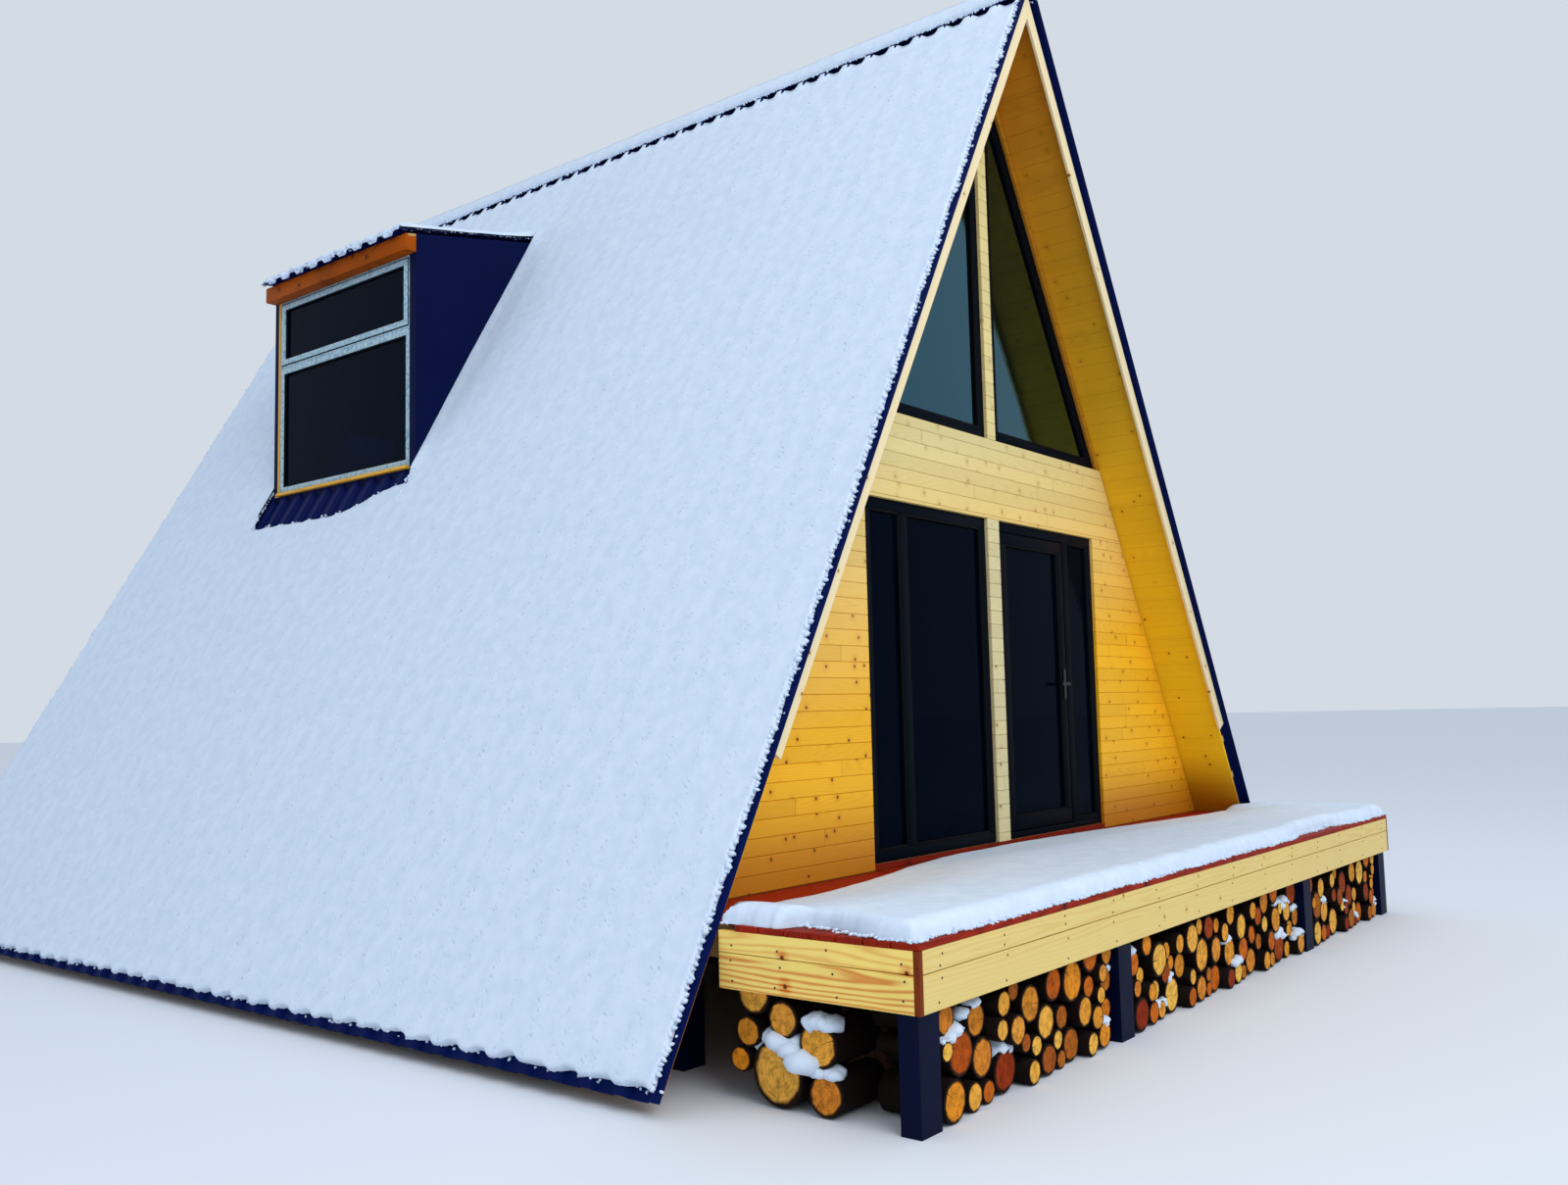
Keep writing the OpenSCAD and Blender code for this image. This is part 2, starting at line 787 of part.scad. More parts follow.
module dormer_cheeks() {
    color(pine) {
        along_y(dormer_y0 + cheek_sheet_t, dormer_y0 + dormer_side) cheek_outline(at_room, 0, dormer_open_x);
        along_y(dormer_y1 - dormer_side, dormer_y1 - cheek_sheet_t) cheek_outline(at_room, 0, dormer_open_x);
    }
}

// Flat sheets over the cheeks and over the edges of the roof boards
module dormer_cheek_sheets() {
    x_end = max(dormer_open_x, dormer_sheet_x) + joint_gap;
    color(navy) {
        along_y(dormer_y0, dormer_y0 + cheek_sheet_t) cheek_outline(at_rafter, board_t, x_end);
        along_y(dormer_y1 - cheek_sheet_t, dormer_y1) cheek_outline(at_rafter, board_t, x_end);
    }
}

// Kerb under the dormer's sill board, down to the inside of the lining, let in over the loft joists
module dormer_curb() {
    z = dormer_win_z - dormer_sill_t;
    inner = dormer_x - frame_t;
    color(pine) difference() {
        along_y(dormer_y0 + dormer_side, dormer_y1 - dormer_side) polygon([
            [-dormer_x, z], [-inner, z],
            [-inner, slope_z(inner, at_room)], [-dormer_x, slope_z(dormer_x, at_room)]
        ]);
        loft_joists();
    }
}

module dormer_sill_board() {
    color("#E8A420")
        translate([-dormer_x - dormer_sill_out, dormer_y0 + dormer_side, dormer_win_z - dormer_sill_t])
            cube([dormer_sill_out + frame_t, dormer_win_w, dormer_sill_t]);
}

// Boxed header: a board that covers the ends of the roof boards, and what fills in behind it
module dormer_header() {
    front = dormer_x + header_out;
    back = front - header_t;
    face = dormer_x + lay_gap;
    rear = dormer_x - frame_t;
    color(header_orange) {
        along_y(dormer_y0, dormer_y1) polygon([
            [-front, dormer_head_z], [-front, dormer_z(front, board_t)],
            [-back, dormer_z(back, board_t)], [-back, dormer_z(back)],
            [-face, dormer_z(face)], [-face, dormer_head_z]
        ]);
        along_y(dormer_y0 + dormer_side + lay_gap, dormer_y1 - dormer_side - lay_gap) polygon([
            [-face, dormer_head_z], [-face, dormer_z(face)],
            [-rear, dormer_z(rear)], [-rear, dormer_head_z]
        ]);
    }
}

module dormer_roof_boards() {
    front = dormer_x + header_out - header_t - lay_gap;
    inset = cheek_sheet_t + lay_gap;
    color(timber) along_y(dormer_y0 + inset, dormer_y1 - inset) polygon([
        [-front, dormer_z(front, lay_gap)], [-front, dormer_z(front, board_t)],
        [-dormer_open_x, dormer_z(dormer_open_x, board_t)],
        [-dormer_open_x, dormer_z(dormer_open_x, lay_gap)]
    ]);
}

module dormer_roof_sheet() {
    front = dormer_x + dormer_eave;
    run = (front - dormer_sheet_x) / cos(dormer_pitch);
    color(navy)
        translate([-front, dormer_y0, dormer_z(front, board_t + rib_h + lay_gap)])
            rotate([0, -dormer_pitch, 0]) rotate([90, 0, 90])
                linear_extrude(run) sheet_outline(dormer_y1 - dormer_y0, 0);
}

// Apron of profiled sheet below the dormer, nested on the main sheet
module dormer_apron() {
    start = down_to(dormer_win_z - dormer_sill_t) + 2 * sheet_t;
    color(navy) difference() {
        mirror([1, 0, 0]) slope_sheet(start, start + apron_len)
            intersection() {
                translate([0, sheet_t + lay_gap]) main_sheet_outline();
                translate([dormer_y0 - edge_y, -ridge_h]) square([dormer_y1 - dormer_y0, 2 * ridge_h]);
            }
        dormer_void(dormer_sheet_x);
    }
}

// Outline of the dormer window in Y and Z, drawn in by a margin
module dormer_light(z0, z1, margin) {
    translate([dormer_y0 + dormer_side + margin, z0])
        square([dormer_win_w - 2 * margin, z1 - z0]);
}

module dormer_window_frame() {
    transom_z = dormer_win_z + dormer_transom;
    color(film_white)
        translate([-dormer_x, 0, 0]) rotate([90, 0, 90]) linear_extrude(frame_t) difference() {
            dormer_light(dormer_win_z, dormer_head_z, 0);
            dormer_light(dormer_win_z + frame_w, transom_z - frame_w / 2, frame_w);
            dormer_light(transom_z + frame_w / 2, dormer_head_z - frame_w, frame_w);
        }
}

module dormer_glass() {
    transom_z = dormer_win_z + dormer_transom;
    color(glass_tint)
        translate([-dormer_x + (frame_t - glass_t) / 2, 0, 0]) rotate([90, 0, 90]) linear_extrude(glass_t) {
            dormer_light(dormer_win_z + frame_w, transom_z - frame_w / 2, frame_w);
            dormer_light(transom_z + frame_w / 2, dormer_head_z - frame_w, frame_w);
        }
}

// Box of deck framing between two corners in plan
module deck_beam(x0, y0, x1, y1) {
    translate([x0, y0, deck_frame_bottom]) cube([x1 - x0, y1 - y0, deck_joist_d]);
}

// Rims, joists from the front rim to the rear one, and noggings out to the side rims
module deck_frame() {
    front = deck_front_y + fascia_t;
    rear = wall_y - deck_board_gap;
    inner = half_w(deck_frame_top, at_rafter) - deck_board_gap;
    outer = deck_frame_half - deck_joist_t;
    joist_y = front + deck_joist_t + joint_gap;
    color(timber) {
        deck_beam(-deck_frame_half, front, deck_frame_half, front + deck_joist_t);
        deck_beam(-inner, rear - deck_joist_t, inner, rear);
        for (i = [0:deck_joists - 1]) {
            x = -inner + (2 * inner - deck_joist_t) * i / (deck_joists - 1);
            deck_beam(x, joist_y, x + deck_joist_t, rear - deck_joist_t - joint_gap);
        }
        both_sides() {
            deck_beam(outer, joist_y, deck_frame_half, side_end_y);
            deck_beam(inner + joint_gap, side_end_y - deck_joist_t, outer - joint_gap, side_end_y);
        }
    }
}

// Boards along the deck, the rear ones short enough to pass between the soffits
module deck_boards() {
    pitch = (wall_y - deck_front_y) / deck_board_n;
    width = pitch - deck_board_gap;
    color(deck_stain) for (i = [0:deck_board_n - 1]) {
        y = deck_front_y + i * pitch;
        reach = y + width > side_end_y ? deck_inner_half : deck_half;
        translate([-reach, y, deck_frame_top]) cube([2 * reach, width, deck_board_t]);
    }
}

// Two fascia boards one over the other, with a seam between them
module fascia_pair(len_x, len_y) {
    cube([len_x, len_y, fascia_lower_h]);
    translate([0, 0, fascia_lower_h + fascia_seam]) cube([len_x, len_y, fascia_upper_h]);
}

module fascia_front() {
    reach = deck_half - corner_trim;
    color(pine_pale) translate([-reach, deck_front_y, fascia_bottom]) fascia_pair(2 * reach, fascia_t);
}

module fascia_sides() {
    y = deck_front_y + fascia_t;
    color(pine_pale) for (x = [-deck_half, deck_half - fascia_t])
        translate([x, y, fascia_bottom]) fascia_pair(fascia_t, side_end_y - y);
}

module deck_corner_trims() {
    color("#6B3A1E") for (x = [-deck_half, deck_half - corner_trim])
        translate([x, deck_front_y, fascia_bottom]) cube([corner_trim, fascia_t, fascia_h]);
}

// Radii of the logs, in the order in which they are stacked
front_radii = [92, 66, 54, 104, 60, 78, 46, 86, 62, 72, 50];
side_radii = [98, 150, 58, 104, 72, 84];

// Height at which a log of radius r comes to rest at place x on the logs already stacked
function rest_height(x, r, logs) = max([
    r,
    for (g = logs) if (abs(x - g[0]) < r + g[2] + log_gap)
        g[1] + sqrt(pow(r + g[2] + log_gap, 2) - pow(x - g[0], 2))
]);

// Stack of logs as [place, height, radius], each dropped where it comes to rest lowest
function stack(radii, width, height, i = 0, logs = []) =
    let (
        r = radii[i % len(radii)],
        places = [for (x = [r:log_step:width - r]) [rest_height(x, r, logs), x]],
        low = min([for (p = places) p[0]]),
        spot = [for (p = places) if (p[0] == low) p[1]][0]
    )
    low + r > height || i > 200 ? logs
    : stack(radii, width, height, i + 1, concat(logs, [[spot, low, r]]));

// Logs in a bay under the deck's front, between two places across
module front_stack(x0, x1) {
    logs = stack(front_radii, x1 - x0, deck_frame_bottom - log_clear);
    color(bark) for (i = [0:len(logs) - 1])
        translate([x0 + logs[i][0], post_y + log_stagger * (i % 4), logs[i][1]]) rotate([-90, 0, 0])
            cylinder(r = logs[i][2], h = log_len);
}

bay_in = deck_post_x_inner + post_w / 2 + log_clear;
bay_out = deck_post_x_outer - post_w / 2 - log_clear;

module firewood_front_left() {
    front_stack(-bay_out, -bay_in);
}

module firewood_front_middle() {
    reach = deck_post_x_inner - post_w / 2 - log_clear;
    front_stack(-reach, reach);
}

module firewood_front_right() {
    front_stack(bay_in, bay_out);
}

// Bigger logs at the deck's ends, lying across
module firewood_sides() {
    y0 = post_y + log_len + 3 * log_stagger + log_clear;
    logs = stack(side_radii, side_end_y - y0, deck_frame_bottom - log_clear);
    color(bark) both_sides() for (i = [0:len(logs) - 1])
        translate([deck_half - fascia_t - log_clear - log_len, y0 + logs[i][0], logs[i][1]])
            rotate([0, 90, 0]) cylinder(r = logs[i][2], h = log_len);
}

deck_posts();
cabin_posts();
floor_beams();
floor_joists();
ground_floor();
loft_joists();
loft_floor();
rafters_left();
rafters_right();
roof_boards_left();
roof_boards_right();
lining_left();
lining_right();
laths();
roof_sheet_left();
roof_sheet_right();
ridge_cap();
barge_boards_front();
barge_boards_back();
front_wall_left();
front_wall_right();
front_wall_band();
front_wall_peak();
centre_post();
threshold();
window_frame();
window_glass();
door_frame();
sidelight_glass();
door_leaf();
door_glass();
door_handle();
hinges_frame();
hinges_leaf();
upper_window_frames();
upper_window_glass();
back_wall_lower();
back_wall_upper();
back_window_frames();
back_window_glass();
dormer_cheeks();
dormer_cheek_sheets();
dormer_curb();
dormer_header();
dormer_sill_board();
dormer_roof_boards();
dormer_roof_sheet();
dormer_apron();
dormer_window_frame();
dormer_glass();
deck_frame();
deck_boards();
fascia_front();
fascia_sides();
deck_corner_trims();
firewood_front_left();
firewood_front_middle();
firewood_front_right();
firewood_sides();
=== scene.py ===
"""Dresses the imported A-frame cabin: boards, sheet, windows, firewood, snow, light and camera."""

import logging
import math
import random
from collections.abc import Callable, Iterator
from dataclasses import dataclass, field
from enum import Enum
from functools import partial

import bpy
import numpy as np
from bpy.types import Material, MeshPolygon, NodeSocket, NodeTree, Object
from mathutils import Matrix, Vector, noise


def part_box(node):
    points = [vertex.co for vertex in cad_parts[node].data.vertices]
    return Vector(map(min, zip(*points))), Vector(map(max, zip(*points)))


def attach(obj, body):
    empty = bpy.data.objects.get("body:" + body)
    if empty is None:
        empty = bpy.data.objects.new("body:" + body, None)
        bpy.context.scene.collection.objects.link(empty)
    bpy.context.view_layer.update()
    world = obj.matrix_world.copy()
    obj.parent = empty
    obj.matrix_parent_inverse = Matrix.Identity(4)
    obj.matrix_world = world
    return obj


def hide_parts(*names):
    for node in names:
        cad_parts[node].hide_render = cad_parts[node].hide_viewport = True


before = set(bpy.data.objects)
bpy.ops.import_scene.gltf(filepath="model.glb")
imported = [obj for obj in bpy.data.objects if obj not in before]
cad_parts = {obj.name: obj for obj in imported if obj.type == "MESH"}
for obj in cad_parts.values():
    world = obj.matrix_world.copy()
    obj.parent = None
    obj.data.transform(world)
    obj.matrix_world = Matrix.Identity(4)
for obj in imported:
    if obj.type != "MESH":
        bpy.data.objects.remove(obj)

LOG = logging.getLogger("cabin")
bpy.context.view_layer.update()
# The roof sheet's ribs: their spacing, and the Y of the first one's middle, in metres.
RIB, FIRST_RIB = 0.214, -3.7425
# The dormer's two ends along the ridge, and its roof's fall.
DORMER_Y = (0.810, 2.868)
DORMER_TAN = math.tan(math.radians(11.5))


def hex_to_linear(code: str) -> tuple[float, float, float, float]:
    """Turns an sRGB colour of six hex digits into linear red, green and blue, with an alpha of 1."""
    channels = [int(code[i : i + 2], 16) / 255 for i in (0, 2, 4)]
    return (*(c / 12.92 if c <= 0.04045 else ((c + 0.055) / 1.055) ** 2.4 for c in channels), 1.0)


def per_metre(size_mm: float) -> float:
    """Scale of a pattern whose parts are size_mm wide, in parts per metre."""
    return 1000.0 / size_mm


def feed(socket: NodeSocket, value: object) -> None:
    """Links an input to another node's output, or sets it to a constant.

    Args:
        socket: The input.
        value: The output that feeds it, a hex colour or another constant.
    """
    if isinstance(value, NodeSocket):
        socket.id_data.links.new(value, socket)
    else:
        socket.default_value = hex_to_linear(value) if isinstance(value, str) else value


def add(tree: NodeTree, kind: str, *values: object, out: str = "", **named: object) -> NodeSocket:
    """Adds a node with its settings, constants and links.

    Args:
        tree: The node tree that gets the node.
        kind: The node's type, and after a dot its operation or data type; in capitals, an operation of Math.
        values: Its inputs in the order in which the node shows them.
        out: Name of the output that is wanted, or nothing for the first.
        named: Further inputs, named with a capital, and settings of the node, named without one.

    Returns:
        The wanted output.
    """
    kind, _, option = (f"Math.{kind}" if kind.isupper() else kind).partition(".")
    node = tree.nodes.new("ShaderNode" + kind)
    if option:
        setattr(node, "data_type" if kind == "Mix" else "operation", option)
    for key, value in named.items():
        if key[0].isupper():
            feed(node.inputs[key], value)
        else:
            setattr(node, key, value)
    for socket, value in zip([s for s in node.inputs if s.enabled], values):
        feed(socket, value)
    return next(s for s in node.outputs if s.enabled and out in ("", s.name))


class Side(Enum):
    """The two slopes of the roof, by the sign of X."""

    LEFT = -1
    RIGHT = 1


class Way(Enum):
    """Directions along which boards run or are laid."""

    X = (1.0, 0.0, 0.0)
    Y = (0.0, 1.0, 0.0)
    Z = (0.0, 0.0, 1.0)
    SLOPE = (0.5, 0.0, -0.8660254)
    OUT = (0.8660254, 0.0, 0.5)


@dataclass(frozen=True)
class Finish:
    """What all finishes share: a name, and a shader that is fed from patterns on object coordinates."""

    name: str

    def make(self) -> Material:
        """Makes the material.

        Returns:
            The finished material.
        """
        mat = bpy.data.materials.new(self.name)
        mat.use_nodes = True
        node = partial(add, mat.node_tree)
        for key, value in self.paint(node, node("TexCoord", out="Object")).items():
            feed(mat.node_tree.nodes["Principled BSDF"].inputs[key], value)
        return mat

    def paint(self, node: Callable, place: NodeSocket) -> dict:
        """Gives the shader's inputs; each finish draws its own."""
        raise NotImplementedError


@dataclass(frozen=True)
class Timber(Finish):
    """Sawn softwood laid as boards: flat-sawn grain, knots and a tone of its own for each board."""

    pale: str
    dark: str
    knot: str
    along: Way
    across: Way
    depth: Way
    cover: float = 0.094
    length: float = 0.0
    spread: float = 0.16
    knots: float = 2.8
    knot_size: float = 0.012
    roughness: float = 0.5
    rings: float = 0.5
    ring: float = 0.013
    streak: float = 0.24
    grime: float = 0.0
    mirrored: bool = False
    phase: float = 0.0
    # Painted light and shade by height: a second pair of tones for the lower boards, and the offset, sideways and
    # downward rates by which they take over.
    stain: tuple[str, str] | None = None
    reach: tuple[float, float, float] = (0.0, 0.0, 0.0)
    # Colour of the painted shade on the lowest boards.
    foot_shade: str = ""
    gloss: float = 0.2

    def paint(self, node: Callable, place: NodeSocket) -> dict:
        """Draws rings, fibres, knots, stains and joints, board by board, and on some finishes painted light and shade
        by height.

        Args:
            node: Adds a node to the material.
            place: Object coordinates.

        Returns:
            The shader's inputs.
        """
        point = node("VectorMath.ABSOLUTE", place) if self.mirrored else place
        a, b, c = (node("VectorMath.DOT_PRODUCT", point, w.value) for w in (self.along, self.across, self.depth))
        courses = node("ADD", node("DIVIDE", b, self.cover), self.phase)
        row = node("FLOOR", courses)
        start = node("TexWhiteNoise", row, noise_dimensions="1D")
        key = node("MULTIPLY", row, 7.13)
        if self.length:
            runs = node("ADD", node("DIVIDE", a, self.length), node("MULTIPLY", start, 5.0))
            key = node("ADD", key, node("MULTIPLY", node("FLOOR", runs), 3.71))
        chance = node("TexWhiteNoise", key, noise_dimensions="1D", out="Color")
        chances = node("SeparateXYZ", chance).node.outputs
        shift = node("VectorMath.MULTIPLY", chance, (31.0, 17.0, 23.0))
        grain = node("VectorMath.ADD", node("CombineXYZ", a, b, c), shift)
        # The arches wander by some 140 mm across the grain and 1100 mm along it.
        slow = node("VectorMath.MULTIPLY", grain, (per_metre(1100), per_metre(140), per_metre(140)))
        warp = node("TexNoise", slow, 1.0, 3.0)
        # Flat-sawn boards show nested arches: the pith runs slightly askew behind the face, and the growth rings,
        # 2 to 3 mm thick in the log, are spread to self.ring where the saw meets them at a low angle.
        inside = node("SUBTRACT", node("FRACT", courses), 0.5)
        centre = node("MULTIPLY_ADD", inside, self.cover, node("MULTIPLY_ADD", chances[0], 0.16, -0.08))
        arch = node("PINGPONG", node("MULTIPLY_ADD", start, 6.0, a), 1.2)
        askew = node("MULTIPLY", arch, node("MULTIPLY_ADD", chances[1], 0.09, 0.03))
        radius = node("ADD", node("MULTIPLY", centre, centre), node("MULTIPLY", askew, askew))
        bent = node("MULTIPLY_ADD", warp, 0.075, node("POWER", radius, 0.5))
        wave = node("SINE", node("MULTIPLY", bent, 2 * math.pi / self.ring))
        late = node("POWER", node("MULTIPLY_ADD", wave, 0.5, 0.5), 2.2)
        # Wood fibres are 0.03 mm thick, far too fine to see: they are drawn as streaks 4 mm wide and 200 mm long,
        # which gives the eye the silky direction of planed wood.
        streaks = node("VectorMath.MULTIPLY", grain, (per_metre(200), per_metre(4), per_metre(4)))
        fibre = node("TexNoise", streaks, 1.0, 2.0)
        # Knots: dark discs as wide as the branches were, 22 to 28 mm, in a halo of darker rings.
        cells = node("TexVoronoi", grain, self.knots, voronoi_dimensions="2D")
        far = node("DIVIDE", cells, self.knots * self.knot_size)
        core = node("SUBTRACT", 1.0, node("SMOOTH_MIN", far, 1.0, 0.3), use_clamp=True)
        core = node("MULTIPLY", core, 2.4, use_clamp=True)
        halo = node("SUBTRACT", 1.0, node("DIVIDE", far, 3.6), use_clamp=True)
        figure = node("MULTIPLY_ADD", start, 1.1, 0.45)
        amount = node("MULTIPLY", node("MULTIPLY", late, self.rings), figure, use_clamp=True)
        amount = node("MULTIPLY_ADD", halo, 0.7, amount, use_clamp=True)
        wood = node("Mix.RGBA", amount, self.pale, self.dark)
        if self.stain:
            # Painted light and shade: by how far down and out they are, the boards take a second pair of tones, a deep
            # orange for the dim light low on the gable, a brighter yellow low on the soffit, whose upper boards stay
            # darker as shade under the peak.
            x, _, z = node("SeparateXYZ", point).node.outputs
            offset, sideways, down = self.reach
            deep = node("MULTIPLY_ADD", z, -down, node("MULTIPLY_ADD", x, sideways, offset), use_clamp=True)
            # Where the painted light keeps the boards pale, their knots are drawn faint too.
            core = node("MULTIPLY", core, node("MULTIPLY_ADD", deep, 0.75, 0.25))
            wood = node("Mix.RGBA", deep, wood, node("Mix.RGBA", amount, *self.stain))
            if self.foot_shade:
                # Painted shade: the lowest boards are darkened up to 0.6 m above the deck, where little light reaches
                # the foot of the wall and of the roof.
                low = node("MapRange", z, 0.8, 1.35, 0.75, 0.0, interpolation_type="SMOOTHSTEP")
                wood = node("Mix.RGBA", low, wood, self.foot_shade)
        wood = node("Mix.RGBA", core, wood, self.knot)
        tone = node("MULTIPLY_ADD", chances[2], self.spread, 1 - self.spread / 2)
        tone = node("MULTIPLY", tone, node("MULTIPLY_ADD", fibre, self.streak, 1 - self.streak / 2))
        if self.grime:
            # Water and resin stains in clouds about 600 mm wide.
            blotch = node("TexNoise", place, per_metre(600), 6.0, 0.6)
            tone = node("MULTIPLY", tone, node("MULTIPLY_ADD", blotch, self.grime, 1 - self.grime / 2))
        if self.length:
            # Butt joints between boards end to end: dark lines 3 mm wide.
            seam = node("LESS_THAN", node("PINGPONG", node("FRACT", runs), 0.5), 0.0016 / self.length)
            tone = node("MULTIPLY", tone, node("MULTIPLY_ADD", seam, -0.65, 1.0))
        height = node("MULTIPLY_ADD", fibre, 0.5, node("MULTIPLY", late, 0.25))
        return {"Base Color": node("VectorMath.SCALE", wood, tone), "Specular IOR Level": self.gloss,
                "Normal": node("Bump", 0.35, 0.0012, Height=height),
                "Roughness": node("MULTIPLY_ADD", fibre, 0.12, self.roughness - 0.06)}


@dataclass(frozen=True)
class Coat(Finish):
    """A factory coat on metal: even colour, faint orange peel and a little dust."""

    colour: str
    roughness: float = 0.4
    dust: float = 0.12
    metallic: float = 0.0
    dust_colour: str = "8E949C"
    gloss: float = 0.5

    def paint(self, node: Callable, place: NodeSocket) -> dict:
        """Draws the dust and the orange peel.

        Args:
            node: Adds a node to the material.
            place: Object coordinates.

        Returns:
            The shader's inputs.
        """
        # A thin veil of dust in clouds about 430 mm wide takes the newness off the even coat.
        broad = node("TexNoise", place, per_metre(430), 8.0, 0.65)
        fade = node("MapRange", broad, 0.45, 0.8, 0.0, self.dust)
        # Orange peel of a sprayed coat is 1 to 2 mm wide; it is drawn 5.5 mm wide, so that reflections still waver.
        peel = node("TexNoise", place, per_metre(5.5), 2.0)
        return {"Base Color": node("Mix.RGBA", fade, self.colour, self.dust_colour), "Metallic": self.metallic,
                "Specular IOR Level": self.gloss, "Normal": node("Bump", 0.12, 0.0006, Height=peel),
                "Roughness": node("MULTIPLY_ADD", broad, 0.2, self.roughness - 0.1)}


@dataclass(frozen=True)
class Film(Finish):
    """Protective film still on the frame: pale blue-grey, slightly wrinkled, mottled where it lies loose."""

    colour: str = "AEC8D2"
    loose: str = "5E8CA2"

    def paint(self, node: Callable, place: NodeSocket) -> dict:
        """Draws blisters and wrinkles.

        Args:
            node: Adds a node to the material.
            place: Object coordinates.

        Returns:
            The shader's inputs.
        """
        # Polythene film lets go of the frame in blisters about 22 mm wide, with wrinkles 36 mm apart between them:
        # the eye reads the darker mottles as film, not as paint.
        cells = node("TexVoronoi", place, per_metre(22), feature="SMOOTH_F1")
        cloud = node("TexNoise", place, per_metre(36), 5.0)
        share = node("MapRange", node("MULTIPLY", cells, cloud), 0.14, 0.36, 0.0, 0.75)
        return {"Base Color": node("Mix.RGBA", share, self.colour, self.loose), "Roughness": 0.32,
                "Normal": node("Bump", 0.3, 0.002, Height=cloud)}


@dataclass(frozen=True)
class Glazing(Finish):
    """Float glass in a sealed unit: dark, clear and mirror-smooth, with a faint draw and dust."""

    tint: str
    ior: float
    mirror: str

    def paint(self, node: Callable, place: NodeSocket) -> dict:
        """Draws the dust and the unit's slight belly.

        Args:
            node: Adds a node to the material.
            place: Object coordinates.

        Returns:
            The shader's inputs.
        """
        # Glass is colourless and mirror-smooth; in front of a dark room it shows near black, with what stands
        # before it. Dust in clouds of about 110 mm softens the mirror here and there.
        dust = node("TexNoise", place, per_metre(110), 6.0, 0.7)
        # Sealed units belly slightly over about 600 mm, which bends straight reflections.
        belly = node("TexNoise", place, per_metre(600), 1.0)
        return {"Base Color": self.tint, "Transmission Weight": 0.92, "IOR": self.ior, "Specular Tint": self.mirror,
                "Roughness": node("MapRange", dust, 0.5, 0.85, 0.01, 0.09),
                "Normal": node("Bump", 0.06, 0.02, Height=belly)}


@dataclass(frozen=True)
class Snowfall(Finish):
    """Fresh snow: near white, matt, with grains and small clumps."""

    colour: str = "DAE8F8"
    shade: str = "D0E0F3"
    pit: str = "93AECB"
    ribs: bool = False

    def paint(self, node: Callable, place: NodeSocket) -> dict:
        """Draws clumps and grains, and pits where the snow lies on ribs, with painted shadow in the pits.

        Args:
            node: Adds a node to the material.
            place: Object coordinates.

        Returns:
            The shader's inputs.
        """
        # Snow scatters all light, a little less red, so it is matt and bluish white. Its clumps are about 90 mm
        # wide; its flakes, 1 to 3 mm, are drawn as grains of 8 mm, enough to break the surface up.
        relief = clumps = node("TexNoise", place, per_metre(90), 8.0, 0.55)
        grains = node("TexNoise", place, per_metre(8), 3.0)
        colour = node("Mix.RGBA", node("MapRange", clumps, 0.35, 0.65), self.shade, self.colour)
        if self.ribs:
            deep = self.pits(node, place)
            # Painted shadow: the pits are darkened towards the pit colour for the shade inside them; their dent comes
            # from the bump below.
            colour = node("Mix.RGBA", node("MULTIPLY", deep, 0.6), colour, self.pit)
            relief = node("MULTIPLY_ADD", deep, -0.5, node("MULTIPLY", clumps, 0.45))
        height = node("MULTIPLY_ADD", grains, 0.18, relief)
        return {"Base Color": colour, "Roughness": 0.72, "Specular IOR Level": 0.25,
                "Normal": node("Bump", 0.35, 0.014, Height=height)}

    def pits(self, node: Callable, place: NodeSocket) -> NodeSocket:
        """Pits in the snow, closest along each rib of the sheet underneath.

        Args:
            node: Adds a node to the material.
            place: Object coordinates.

        Returns:
            How deep the pits are, from 0 to 1.
        """
        y = node("SeparateXYZ", place).node.outputs[1]
        phase = node("MULTIPLY_ADD", y, 1 / RIB, 20 - FIRST_RIB / RIB)
        mask = node("MapRange", node("PINGPONG", node("FRACT", phase), 0.5), 0.06, 0.30, 1.0, 0.12)
        # Drips and slips leave pits about 13 mm wide and 40 mm long, askew to the ribs; their painted shadow draws the
        # faint rows of specks.
        across = node("VectorMath.DOT_PRODUCT", place, (0.0, 38.0, -66.0))
        along = node("VectorMath.DOT_PRODUCT", place, (0.0, 21.0, 14.0))
        pits = node("TexNoise", node("CombineXYZ", across, along), 1.0, 3.0, 0.62)
        return node("MULTIPLY", node("MapRange", pits, 0.585, 0.70), mask)


